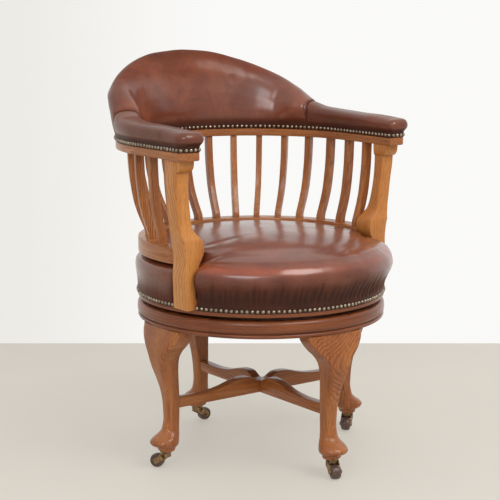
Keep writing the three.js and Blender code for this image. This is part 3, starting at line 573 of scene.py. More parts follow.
def leather_material(name):
    """Glossy hide, coloured by hand: mottled with lighter worn places, dark near nails, with painted shade in
    folds, and a red band along the seat's front.
    """
    settings = bpy.context.scene.chair_leather
    body, pale, shade, red = map(tuple, (settings.body, settings.worn, settings.shade, settings.front_band))
    surface, tree, shader = new_material(name, **{
        "Coat Roughness": 0.22, "Coat IOR": 1.6, "IOR": 1.45, "Specular IOR Level": 0.1,
    })
    at = object_place(tree)
    dark, front_band, dull = (attribute(tree, word) for word in ("stain", "rub", "dull"))
    mottle = cloud(tree, at, 6.0, 11.0, 0.62, 0.6)
    patches = cloud(tree, at, 3.0, 4.2, 0.5, 0.9)
    brushed = cloud(tree, stretched(tree, at, (26, 26, 90)), 4.0)
    hide = mixed(tree, between(tree, mottle, 0.35, 0.68), body, pale)
    hide = mixed(tree, between(tree, patches, 0.45, 0.75, 0.0, 0.5), hide, darker(body, 0.6))
    hide = mixed(tree, between(tree, brushed, 0.5, 0.8, 0.0, 0.3), hide, shade)
    # Dark near the nails and painted shade: the painted attribute mixes the hide towards the dark colour
    hide = mixed(tree, times(tree, dark, between(tree, mottle, 0.2, 0.75, 0.75, 1.0)), hide, shade)
    hide = mixed(tree, times(tree, front_band, between(tree, mottle, 0.3, 0.6, 0.5, 1.0)), hide, red)
    wax = sums(tree, "SUBTRACT", between(tree, dark, 0.1, 0.7, 1.0, 0.12), times(tree, dull, 0.9))
    tree.links.new(sums(tree, "MAXIMUM", wax, 0.05), shader.inputs["Coat Weight"])
    pebbles = add(tree, "ShaderNodeTexVoronoi", {"Vector": at, "Scale": 780.0, "Randomness": 1.0},
                  feature="DISTANCE_TO_EDGE").outputs["Distance"]
    creases = cloud(tree, at, 4.0, 95.0, 0.6, 0.4)
    surfaced(tree, shader, hide, between(tree, mottle, 0.2, 0.8, 0.42, 0.56),
             sums(tree, "ADD", times(tree, between(tree, pebbles, 0.0, 0.12), 0.4), creases), 0.16, 0.35 * MM)
    return surface


def brass_material(name, base, gloss):
    """Aged brass: bright where rubbed, brown in the hollows."""
    surface, tree, shader = new_material(name, Metallic=1.0)
    at = object_place(tree)
    tarnish = cloud(tree, at, 5.0, 160.0, 0.65)
    spots = cloud(tree, at, 3.0, 620.0)
    metal = mixed(tree, between(tree, tarnish, 0.4, 0.66), base, darker(base, 0.28))
    metal = mixed(tree, between(tree, spots, 0.62, 0.74, 0.0, 0.7), metal, (0.035, 0.022, 0.014))
    surfaced(tree, shader, metal, between(tree, tarnish, 0.3, 0.7, gloss, gloss + 0.25),
             spots, 0.12, 0.2 * MM)
    return surface


def iron_material(name):
    """Dull forged iron with rust in patches."""
    surface, tree, shader = new_material(name, Metallic=0.85)
    at = object_place(tree)
    rust = cloud(tree, at, 6.0, 34.0, 0.65)
    pits = cloud(tree, at, 4.0, 420.0)
    metal = mixed(tree, between(tree, rust, 0.52, 0.72), (0.06, 0.057, 0.055), (0.13, 0.055, 0.026))
    surfaced(tree, shader, metal, between(tree, rust, 0.3, 0.75, 0.42, 0.8), pits, 0.3, 0.3 * MM)
    return surface


def wheel_material(name):
    """Hard brown composition, scuffed on the tread."""
    surface, tree, shader = new_material(name, **{"Coat Weight": 0.25, "Coat Roughness": 0.2})
    at = object_place(tree)
    scuffs = cloud(tree, at, 6.0, 210.0, 0.7, 0.5)
    dust = cloud(tree, at, 3.0, 60.0)
    tint = mixed(tree, between(tree, scuffs, 0.5, 0.74, 0.0, 0.8), (0.075, 0.04, 0.03), (0.23, 0.14, 0.1))
    tint = mixed(tree, between(tree, dust, 0.45, 0.8, 0.0, 0.5), tint, (0.045, 0.024, 0.018))
    surfaced(tree, shader, tint, between(tree, scuffs, 0.35, 0.7, 0.3, 0.6), scuffs, 0.25, 0.2 * MM)
    return surface


def plain_wood_material(name):
    """Sawn, unpolished wood inside the chair."""
    surface, tree, shader = new_material(name)
    at = object_place(tree)
    rings = wave(tree, at, 24.0, 6.0, 3.0, 1.2, wave_type="BANDS", bands_direction="Y")
    fibres = cloud(tree, stretched(tree, at, (8, 420, 420)), 4.0)
    wood = mixed(tree, rings, (0.27, 0.15, 0.07), (0.19, 0.1, 0.045))
    wood = mixed(tree, between(tree, fibres, 0.5, 0.8, 0.0, 0.7), wood, (0.07, 0.035, 0.016))
    surfaced(tree, shader, wood, between(tree, fibres, 0.3, 0.7, 0.6, 0.8), fibres, 0.4, 0.4 * MM)
    return surface


def weave_material(name, light, dark, threads):
    """Plain woven cloth: warp over weft, with some slubs."""
    surface, tree, shader = new_material(name, **{"Sheen Weight": 0.2})
    at = object_place(tree)
    warp, weft = (wave(tree, at, threads, 0.6, 1.0, 30.0, wave_type="BANDS", bands_direction=way)
                  for way in "XY")
    weave = times(tree, warp, weft)
    slubs = cloud(tree, at, 4.0, 90.0, 0.7)
    cloth = mixed(tree, between(tree, weave, 0.05, 0.6), dark, light)
    cloth = mixed(tree, between(tree, slubs, 0.5, 0.75, 0.0, 0.5), cloth, darker(light, 0.55))
    surfaced(tree, shader, cloth, between(tree, slubs, 0.3, 0.7, 0.8, 0.95), weave, 0.6, 0.5 * MM)
    return surface


def material(name):
    """The chair's materials, each made when it is first asked for."""
    found = bpy.data.materials.get(name)
    if found:
        return found
    wood = bpy.context.scene.chair_wood
    brass = tuple(bpy.context.scene.chair_nails.brass)
    makers = {
        "ring_oak": (oak_material, wood.ring_light, wood.ring_dark, 0.5, 0.26),
        "leg_oak": (oak_material, wood.leg_light, wood.leg_dark, 0.3, 0.28),
        "post_oak": (oak_material, wood.post_light, wood.post_dark, 0.7, 0.34),
        "slat_oak": (oak_material, wood.slat_light, wood.slat_dark, 1.0, 0.32),
        "chestnut_leather": (leather_material,),
        "nail_brass": (brass_material, brass, 0.22),
        "caster_brass": (brass_material, (0.4, 0.25, 0.13), 0.34),
        "pivot_iron": (iron_material,),
        "wheel_composition": (wheel_material,),
        "frame_beech": (plain_wood_material,),
        "jute_webbing": (weave_material, (0.42, 0.32, 0.19), (0.16, 0.11, 0.06), 90.0),
        "black_cambric": (weave_material, (0.035, 0.032, 0.03), (0.012, 0.011, 0.01), 190.0),
    }
    maker, *values = makers[name]
    return maker(name, *values)


# Base

# Each row: share of the height, outer and inner reach as shares of the leg's reach, half width as a
# share of the top half width, and how square the section is: 2 is round, 8 nearly square.
LEG_SHARES = [
    [0, 0.955, 0.845, 0.285, 2],
    [0.006, 0.962, 0.838, 0.305, 2],
    [0.03, 0.968, 0.832, 0.315, 2],
    [0.036, 0.985, 0.824, 0.36, 2],
    [0.048, 1.015, 0.812, 0.415, 2],
    [0.07, 1.03, 0.806, 0.446, 2],
    [0.1, 1.006, 0.804, 0.418, 2],
    [0.135, 0.956, 0.797, 0.335, 2],
    [0.168, 0.928, 0.795, 0.272, 2.1],
    [0.27, 0.907, 0.795, 0.227, 2.8],
    [0.39, 0.91, 0.8, 0.233, 3.8],
    [0.49, 0.925, 0.808, 0.242, 5.5],
    [0.585, 0.953, 0.818, 0.262, 8],
    [0.68, 0.985, 0.828, 0.306, 11],
    [0.76, 1, 0.834, 0.39, 13],
    [0.818, 1.002, 0.833, 0.535, 14],
    [0.865, 0.996, 0.832, 0.72, 14],
    [0.915, 0.987, 0.832, 0.88, 14],
    [0.965, 0.974, 0.828, 0.985, 14],
    [1, 0.966, 0.825, 1, 14],
]
LEG_REACH = 268 * MM
LEG_TOP_HALF_WIDTH = 67 * MM
LEG_ROWS = 76
LEG_CORNERS = 48
# How far each leg's grain is shifted from the last one's, along it and across it
LEG_GRAIN_SHIFT = 0.31
ACROSS_SHARE = 0.3

# Shares of a stretcher's half length and of its depth, from the middle of the board to the leg
STRETCHER_SHARES = [
    [0, 0.69], [0.065, 0.7], [0.115, 0.86], [0.165, 0.98], [0.22, 1], [0.28, 0.98], [0.38, 0.84],
    [0.49, 0.67], [0.6, 0.57], [0.72, 0.53], [0.85, 0.54], [1, 0.58],
]
STRETCHER_DEPTH = 38 * MM
STRETCHER_THICKNESS = 21 * MM
STRETCHER_ROWS = 46
STRETCHER_GRAIN_SHARE = 0.4
# Edges of a board that turn by more than this are corners, in radians
CORNER_TURN = 0.9


def leg_section(row, bottom, top, ring_radius):
    """One section of a leg, hollowed behind as the ring's curve asks."""
    height, outer, inner, half, square = row
    middle = (outer + inner) / 2 * LEG_REACH
    deep = (outer - inner) / 2 * LEG_REACH
    wide = half * LEG_TOP_HALF_WIDTH
    section = []
    for i in range(LEG_CORNERS):
        angle = TURN * (i + 0.5) / LEG_CORNERS
        c, s = math.cos(angle), math.sin(angle)
        across = wide * math.copysign(abs(s) ** (2 / square), s)
        out = middle + deep * math.copysign(abs(c) ** (2 / square), c)
        section.append(Vector((out - across * across / (2 * ring_radius), across, mix(bottom, top, height))))
    return section


def leg_body():
    """One leg, in its own place along +X from the swivel axis."""
    bottom = depth_of("leg_front")[0]
    top = depth_of("base_ring")[0]
    ring_radius = reach_of("base_ring")
    places = sorted({*spaced(LEG_ROWS), *(row[0] for row in LEG_SHARES)})
    rows = [[at, *eased(LEG_SHARES, at)] for at in places]
    return loft([leg_section(row, bottom, top, ring_radius) for row in rows])


class ChairLegs(bpy.types.Operator):
    """Models the four cabriole legs"""
    bl_idname = "chair.legs"
    bl_label = "Legs"

    def execute(self, context):
        for number, (side, turn) in enumerate(SIDES.items()):
            bm = leg_body()
            place = Matrix.Translation((0, AXIS_Y, 0)) @ Matrix.Rotation(turn, 4, "Z")
            bmesh.ops.transform(bm, matrix=place, verts=bm.verts)
            leg = finished(f"leg_{side}_cabriole", bm, "base", "oak", [f"leg_{side}"],
                           [material("leg_oak")])
            back = place.inverted()
            shift = LEG_GRAIN_SHIFT * number

            def in_leg(co, back=back, shift=shift):
                local = back @ co
                return local.z + shift, local.y + ACROSS_SHARE * shift, local.x

            lay_grain(leg, in_leg)
        return {"FINISHED"}


def stretcher_outline(half, bottom, notched_low):
    """Side view of a board, notched from below or above where the other board crosses it."""
    middle_top = STRETCHER_SHARES[0][1] * STRETCHER_DEPTH
    notch = STRETCHER_THICKNESS / 2
    halving = bottom + middle_top / 2
    side = []
    for at in spaced(STRETCHER_ROWS):
        along = mix(notch / half, 1.0, at)
        side.append((half * along, bottom + STRETCHER_DEPTH * eased(STRETCHER_SHARES, along)[0]))
    right = side if notched_low else [(notch, halving), *side]
    left = [(-x, z) for x, z in reversed(right)]
    lower = [(-half, bottom), (half, bottom)]
    if notched_low:
        lower = [(-half, bottom), (-notch, bottom), (-notch, halving), (notch, halving),
                 (notch, bottom), (half, bottom)]
    return [*lower, *reversed(right), *reversed(left)]


class ChairStretchers(bpy.types.Operator):
    """Models the two crossed stretchers, halved into each other"""
    bl_idname = "chair.stretchers"
    bl_label = "Stretchers"

    def execute(self, context):
        edge = context.scene.chair_wood.edge_round
        half = reach_of("stretcher_long")
        for name, turn, notched_low in (("stretcher_long", 0.0, False), ("stretcher_cross", QUARTER, True)):
            outline = stretcher_outline(half, depth_of(name)[0], notched_low)
            bm = slab([(x, -STRETCHER_THICKNESS / 2, z) for x, z in outline], (0, STRETCHER_THICKNESS, 0))
            worn(bm, [e for e in bm.edges if len(e.link_faces) == 2 and e.calc_face_angle() > CORNER_TURN],
                 edge)
            place = Matrix.Translation((0, AXIS_Y, 0)) @ Matrix.Rotation(turn, 4, "Z")
            bmesh.ops.transform(bm, matrix=place, verts=bm.verts)
            board = finished(f"{name}_board", bm, "base", "oak", [name], [material("leg_oak")])
            back = place.inverted()

            def in_board(co, back=back, turn=turn):
                local = back @ co
                return local.x + turn, local.z, local.y + STRETCHER_GRAIN_SHARE * turn

            lay_grain(board, in_board)
        return {"FINISHED"}


def ring_place(radius, level):
    """Where a point lies in a turned ring: round it from the front, across it and up it."""
    def place(co):
        x, y = co.x, co.y - AXIS_Y
        return math.atan2(x, -y) * radius, math.hypot(x, y) - radius, co.z - level
    return place


RING_SEGMENTS = 6
RING_STEPS = 180


class ChairBaseRing(bpy.types.Operator):
    """Turns the base ring, with its bead, groove and rounded band"""
    bl_idname = "chair.base_ring"
    bl_label = "Base ring"

    bore: length("Bore", "Inner radius of the ring", 205 * MM)
    bead_height: length("Bead", "Height of the bead", 8.4 * MM)
    groove_width: length("Groove", "Width of the groove over the bead", 2.0 * MM)
    groove_depth: length("Groove depth", "How far the groove goes in", 4.2 * MM)

    # How far the band over the groove stands back, in millimetres, at shares of its height
    SWELL = [[0, -2.6], [0.06, -1.3], [0.16, -0.4], [0.35, 0.0], [0.55, -0.15], [0.72, -0.8],
             [0.84, -2.0], [0.93, -3.8], [0.98, -5.6], [1, -8.0]]
    BEAD_REACH = 4.0 * MM
    SET_BACK = 1.2 * MM
    GROOVE_EASE = 0.3 * MM

    def execute(self, context):
        bottom, top = depth_of("base_ring")
        radius = reach_of("base_ring")
        bead_top = bottom + self.bead_height
        band = bead_top + self.groove_width
        bead_middle = (bottom + bead_top) / 2
        bead = [
            (radius - self.SET_BACK - self.BEAD_REACH + self.BEAD_REACH * math.cos(a),
             bead_middle + self.bead_height / 2 * math.sin(a))
            for a in (mix(-QUARTER, QUARTER, t) for t in spaced(9))
        ]
        face = [(radius + eased(self.SWELL, at)[0] * MM, mix(band, top, at)) for at in spaced(17)]
        groove = radius - self.groove_depth - self.SET_BACK
        profile = [(self.bore, top), (self.bore, bottom), *bead, (groove, bead_top + self.GROOVE_EASE),
                   (groove, band - self.GROOVE_EASE), *face]
        ring = finished("base_ring_turned", spun(profile, RING_STEPS), "base", "oak", ["base_ring"],
                        [material("ring_oak")])
        lay_grain(ring, ring_place(radius, bottom), TURN * radius, TURN * radius / RING_SEGMENTS)
        return {"FINISHED"}


# Casters

def caster_place(side):
    """The caster's own place: its stem on Z, its wheel trailing towards +X."""
    swivel = axis_of(f"caster_swivel_{side}")["pos_m"]
    spin = axis_of(f"wheel_spin_{side}")["pos_m"]
    trail = math.atan2(spin[1] - swivel[1], spin[0] - swivel[0])
    place = Matrix.Translation((swivel[0], swivel[1], 0)) @ Matrix.Rotation(trail, 4, "Z")
    return place, math.hypot(spin[0] - swivel[0], spin[1] - swivel[1]), spin[2]


def lying(place, trail, level):
    """Turns a piece made about Z so that it lies on the wheel's spin axis."""
    return place @ Matrix.Translation((trail, 0, level)) @ Matrix.Rotation(QUARTER, 4, "X")


class ChairCasters(bpy.types.Operator):
    """Models the plates, forks, axles and wheels of the four casters"""
    bl_idname = "chair.casters"
    bl_label = "Casters"

    wheel_width: length("Wheel width", "Width of a wheel", 18.6 * MM)
    cheek: length("Cheek", "Thickness of a fork's cheek", 2.2 * MM)
    cheek_gap: length("Cheek gap", "Between the wheel and a cheek", 0.6 * MM)
    disc_radius: length("Disc", "Radius of the fork's disc", 11.4 * MM)
    plate_radius: length("Plate", "Radius of the plate under the foot", 13.2 * MM)

    # Plate: its bore, its socket in the foot, and the circle of its screws
    BORE = 4.25 * MM
    SOCKET = 6.4 * MM
    SCREW_CIRCLE = 9.8 * MM
    SCREW_PROUD = 0.35 * MM
    # Fork: thickness of its disc and the gap over it, stem, and half the yoke's depth
    DISC = 2.4 * MM
    DISC_GAP = 0.4 * MM
    STEM = 3.9 * MM
    YOKE_HALF = 6 * MM
    # Each row of the yoke: how far under its top, and its share of the full size
    YOKE_SHARES = ((10.3 * MM, 0.96), (9.6 * MM, 1), (0.8 * MM, 1), (0.2 * MM, 0.94), (0, 0.86))
    # Cheeks: radius round the axle, straight part behind, and worn edge
    CHEEK_END = 5.6 * MM
    CHEEK_BACK = 12 * MM
    CHEEK_EDGE = 0.7 * MM
    # Axle and wheel
    ROD = 2.4 * MM
    ROD_HEAD = 4 * MM
    AXLE_BORE = 2.75 * MM
    HUB = 5.4 * MM
    DISH = 0.7 * MM
    TREAD = 5.0 * MM

    def half_fork(self):
        """From the middle of the wheel to the outside of a cheek."""
        return self.wheel_width / 2 + self.cheek_gap + self.cheek

    def cast(self, piece, side, bm, body):
        """Finishes one piece of a caster, in brass or the wheel's composition."""
        name = f"caster_{piece}_{side}"
        ending = {"plate": "turned", "fork": "cast", "axle": "pin", "wheel": "turned"}[piece]
        slot, finish = ("wheel", "wheel_composition") if piece == "wheel" else ("brass", "caster_brass")
        finished(f"{name}_{ending}", bm, body, slot, [name], [material(finish)])

    def plate(self, side, place):
        low, high = depth_of(f"caster_plate_{side}")
        foot = depth_of(f"leg_{side}")[0]
        rim = self.plate_radius
        profile = rounded([
            (self.BORE, low), (rim, low, 1.1 * MM), (rim, foot, 0.5 * MM), (self.SOCKET, foot, 0),
            (self.SOCKET, high, 0), (self.BORE, high, 0),
        ], 0.6 * MM)
        bm = bmesh.new()
        add_spun(bm, profile, 48, place)
        screw = rounded([(0, 0, 0), (1.7 * MM, 0, 0.5 * MM), (1.7 * MM, 1 * MM, 0), (0, 1 * MM, 0)], 0)
        for i in range(3):
            turn = Matrix.Rotation(TURN * i / 3, 4, "Z")
            spot = place @ turn @ Matrix.Translation((self.SCREW_CIRCLE, 0, low - self.SCREW_PROUD))
            add_spun(bm, screw, 14, spot)
        self.cast("plate", side, bm, "base")

    def fork(self, side, place, trail, level):
        top = depth_of(f"caster_plate_{side}")[0] - self.DISC_GAP
        stem_top = depth_of(f"caster_fork_{side}")[1]
        disc, wide = top - self.DISC, self.disc_radius
        yoke_top = top - self.DISC * 0.5
        half, deep = self.half_fork(), self.YOKE_HALF
        bm = bmesh.new()
        profile = rounded([
            (0, disc, 0), (wide, disc, 1 * MM), (wide, top, 0.8 * MM), (self.STEM, top, 0),
            (self.STEM, stem_top, 0.8 * MM), (0, stem_top, 0),
        ], 0)
        add_spun(bm, profile, 40, place)
        yoke = rounded([(-deep, -half), (deep, -half), (deep, half), (-deep, half)], 2.2 * MM)
        add_part(bm, loft([
            [(x * k, y * k, yoke_top - down) for x, y in yoke] for down, k in self.YOKE_SHARES
        ]), place)
        slope = math.atan2(trail + deep, yoke_top - level)
        end = arc(trail, level, self.CHEEK_END, slope - math.pi, slope, 12)
        outline = [(-deep, yoke_top), (-deep, yoke_top - self.CHEEK_BACK), *end, (deep, yoke_top)]
        for sign in (-1, 1):
            inner = sign * (half - self.cheek)
            part = slab([(x, inner, z) for x, z in outline], (0, sign * self.cheek, 0))
            worn(part, [e for e in part.edges if all(abs(v.co.y - sign * half) < 0.01 * MM for v in e.verts)],
                 self.CHEEK_EDGE)
            add_part(bm, part, place)
        self.cast("fork", side, bm, f"caster_{side}")

    def axle(self, side, place, trail, level):
        inner, outer = self.half_fork() + 0.3 * MM, self.half_fork() + 1.6 * MM
        rod, head = self.ROD, self.ROD_HEAD
        profile = rounded([
            (0, -outer, 0), (head, -outer, 1 * MM), (head, -inner, 0), (rod, -inner, 0), (rod, inner, 0),
            (head, inner, 0), (head, outer, 1 * MM), (0, outer, 0),
        ], 0)
        bm = bmesh.new()
        add_spun(bm, profile, 28, lying(place, trail, level))
        self.cast("axle", side, bm, f"caster_{side}")

    def wheel(self, side, place, trail, level):
        half = self.wheel_width / 2
        tread = [
            (level - self.TREAD + self.TREAD * max(math.sin(a), 0.0) ** 0.55, -half * math.cos(a))
            for a in (mix(0.0, math.pi, t) for t in spaced(25))
        ]
        dished = half - self.DISH
        rim, hub = level - self.HUB, self.HUB + 0.5 * MM
        profile = [
            (self.AXLE_BORE, -half), (self.HUB, -half), (hub, -dished), (rim, -dished), *tread,
            (rim, dished), (hub, dished), (self.HUB, half), (self.AXLE_BORE, half),
        ]
        bm = bmesh.new()
        add_spun(bm, profile, 56, lying(place, trail, level))
        self.cast("wheel", side, bm, f"wheel_{side}")

    def execute(self, context):
        for side in SIDES:
            place, trail, level = caster_place(side)
            self.plate(side, place)
            self.fork(side, place, trail, level)
            self.axle(side, place, trail, level)
            self.wheel(side, place, trail, level)
        return {"FINISHED"}


# Seat

LIP_HEIGHT = 8.3 * MM


def lip_top():
    """The level of the seat ring's bare lip, which the leather and the posts stand over."""
    return depth_of("seat_ring")[0] + LIP_HEIGHT


class ChairSeatRing(bpy.types.Operator):
    """Turns the seat frame, whose bare lip shows under the nails"""
    bl_idname = "chair.seat_ring"
    bl_label = "Seat ring"

    bore: length("Bore", "Inner radius of the frame", 205 * MM)
    frame_radius: length("Frame radius", "Radius under the leather", 255.8 * MM)

    def execute(self, context):
        bottom, top = depth_of("seat_ring")
        lip = reach_of("seat_ring")
        profile = rounded([
            (self.bore, top, 1 * MM), (self.bore, bottom, 1 * MM), (lip, bottom, 3.4 * MM),
            (lip, lip_top(), 1.6 * MM), (self.frame_radius, lip_top(), 0), (self.frame_radius, top, 0),
        ], 0, 5)
        ring = finished("seat_ring_turned", spun(profile, RING_STEPS), "seat", "oak", ["seat_ring"],
                        [material("ring_oak")])
        lay_grain(ring, ring_place(lip, bottom + GRAIN_SHIFTS["seat_ring"]), TURN * lip,
                  TURN * lip / RING_SEGMENTS)
        return {"FINISHED"}


# Arm posts. Each row: height share, lean share from foot to arm, inner and outer reach as shares of
# half the thickness, then how far the front, the inner back and the outer back stand, as depth shares.
POST_SHARES = [
    [0, 0, 1.0, 0.8, 0, 1, 1],
    [0.085, 0.1, 0.79, 0.74, 0, 1, 1],
    [0.142, 0.14, 0.86, 0.72, 0, 1, 1],
    [0.2, 0.15, 1.08, 0.76, 0, 1, 1],
    [0.25, 0.145, 1.2, 0.74, 0, 1, 1],
    [0.284, 0.13, 1.34, 0.68, 0, 1, 1],
    [0.312, 0.11, 1.52, 0.68, 0, 1, 1],
    [0.341, 0.1, 1.82, 0.7, 0, 1, 1],
    [0.375, 0.11, 2.12, 0.74, 0, 1, 1],
    [0.41, 0.15, 2.24, 0.78, 0, 1, 1],
    [0.445, 0.22, 2.24, 0.82, 0, 1, 1],
    [0.462, 0.28, 2.16, 0.85, 0, 0.965, 0.965],
    [0.47, 0.3, 2.04, 0.86, 0.012, 0.95, 0.96],
    [0.505, 0.385, 1.46, 0.9, 0.08, 0.885, 0.957],
    [0.54, 0.45, 1.08, 0.94, 0.11, 0.81, 0.94],
    [0.59, 0.54, 0.99, 1, 0.15, 0.73, 0.91],
    [0.68, 0.68, 0.98, 1.03, 0.15, 0.64, 0.894],
    [0.76, 0.79, 0.93, 1.01, 0.12, 0.61, 0.88],
    [0.87, 0.92, 0.97, 1, 0.06, 0.6, 0.87],
    [0.918, 0.945, 1, 1, 0.05, 0.6, 0.87],
]
# The flared block under the arm, in the same shares
CAPITAL_SHARES = [
    [0.9215, 0.95, 1.12, 1.02, -0.04, 0.6, 0.87],
    [0.93, 0.954, 1.19, 1.025, -0.12, 0.6, 0.87],
    [0.942, 0.96, 1.24, 1.03, -0.18, 0.6, 0.87],
    [0.96, 0.97, 1.29, 1.03, -0.222, 0.6, 0.87],
    [1, 1, 1.35, 1.03, -0.235, 0.6, 0.87],
]
CAPITAL_FROM = 0.918
POST_HALF_THICKNESS = 15 * MM
POST_DEPTH = 47 * MM
POST_FRONT = 102 * MM
POST_GAP = 0.3 * MM
# From the lower and the top rail's outer faces to the middle of a post
POST_FOOT_INSET = 13 * MM
POST_HEAD_INSET = 22.5 * MM
POST_ROWS = 84
CAPITAL_ROWS = 20
POST_GRAIN_SHIFT = 0.2


@cache
def post_faces(at):
    """Where an arm post's inner, outer, front and two back faces stand, at a share of its height."""
    rows = POST_SHARES if at <= CAPITAL_FROM else CAPITAL_SHARES
    lean, inner, outer, forward, back_in, back_out = eased(rows, at)
    middle = mix(reach_of("lower_rail") - POST_FOOT_INSET, reach_of("top_rail") - POST_HEAD_INSET, lean)
    front = AXIS_Y - POST_FRONT
    return (middle - POST_HALF_THICKNESS * inner, middle + POST_HALF_THICKNESS * outer,
            front + POST_DEPTH * forward, front + POST_DEPTH * back_in, front + POST_DEPTH * back_out)


def post_levels():
    """Where an arm post starts over the lip and ends under the arm."""
    return lip_top() + POST_GAP, depth_of("top_rail")[0]


class ChairArmPosts(bpy.types.Operator):
    """Shapes the two arm posts, from the seat frame to the arms"""
    bl_idname = "chair.arm_posts"
    bl_label = "Arm posts"

    def execute(self, context):
        edge = context.scene.chair_wood.edge_round
        bottom, top = post_levels()
        places = [at * CAPITAL_FROM for at in spaced(POST_ROWS)]
        places += [mix(CAPITAL_SHARES[0][0], 1.0, at ** 1.5) for at in spaced(CAPITAL_ROWS)]
        for name, side in (("arm_post_left", -1), ("arm_post_right", 1)):
            sections = []
            for at in places:
                near, far, ahead, back_in, back_out = post_faces(at)
                outline = rounded([(side * near, ahead), (side * far, ahead), (side * far, back_out),
                                   (side * near, back_in)], edge)
                sections.append([(x, y, mix(bottom, top, at)) for x, y in outline])
            post = finished(f"{name}_shaped", loft(sections), "seat", "oak", [name],
                            [material("post_oak")])
            lay_grain(post, lambda co, side=side: (co.z + POST_GRAIN_SHIFT * side, co.x, co.y))
        return {"FINISHED"}


# Cushion sides, from the nails up to the crown. Each row: share of the way in to the lower rail's
# inner face, bulge share and rise share, where the front is free and where the rail presses it down.
CUSHION_SIDE_SHARES = [
    [0, 0, 0, 0, 0, 0],
    [0, 0.1, 0.1, 0, 0.12, 0.17],
    [0, 0.5, 0.25, 0, 0.5, 0.39],
    [0, 0.88, 0.36, 0, 0.85, 0.55],
    [0, 1, 0.44, 0, 1, 0.66],
    [0, 0.9, 0.55, 0, 0.75, 0.78],
    [0, 0.5, 0.66, 0.08, 0.3, 0.87],
    [0.08, 0, 0.74, 0.4, 0, 0.93],
    [0.45, 0, 0.785, 0.8, 0, 0.975],
    [0.88, 0, 0.815, 1, 0, 1],
]
# Crown: radius as a share of the way out to the lower rail, then the two rise shares
CUSHION_CROWN_SHARES = [
    [0.991, 0.826, 0.84], [0.87, 0.88, 0.885], [0.64, 0.94, 0.94], [0.35, 0.985, 0.985], [0.02, 1, 1],
]
RAILED_FROM = math.radians(56)
RAILED_FULLY = math.radians(75)
LOWER_RAIL_WIDTH = 36.5 * MM
BAND_RADIUS = 259 * MM
HEM_HEIGHT = 9.9 * MM
FRAME_RADIUS = 256.1 * MM
UNDERSIDE_GAP = 4.6 * MM
RAIL_GAP = 0.6 * MM
SEAT_SWELLING = 3.5 * MM
SEAT_VOXEL = 7.5 * MM
# The post's gap to the leather, the share of its height that the leather reaches, and how far before
# and behind it the leather is drawn in
LEATHER_GAP = 0.7 * MM
LEATHER_REACH = 0.4
DRAWN_BEFORE = 1.2 * MM, 7 * MM
DRAWN_BEHIND = 0.5 * MM, 3.5 * MM
POST_SHADOW = 9 * MM
POST_SINK = 4 * MM


def stuffing_levels():
    """Where the stuffing starts over the hem, and how high it rises over that."""
    edge = lip_top() + HEM_HEIGHT
    return edge, depth_of("seat_cushion")[1] - edge


def on_seat(co):
    """A point's share of the stuffing's height, and its angle round the seat from the front."""
    edge, height = stuffing_levels()
    return (co.z - edge) / height, math.atan2(co.x, AXIS_Y - co.y)


def railed_at(angle):
    """How far the lower rail presses the leather down: 0 in front, 1 at the sides and back."""
    return smooth(abs(angle), RAILED_FROM, RAILED_FULLY)


def wavering(*place):
    """Even noise, from -1 to 1, at a place given as three numbers."""
    return noise.noise(Vector(place))


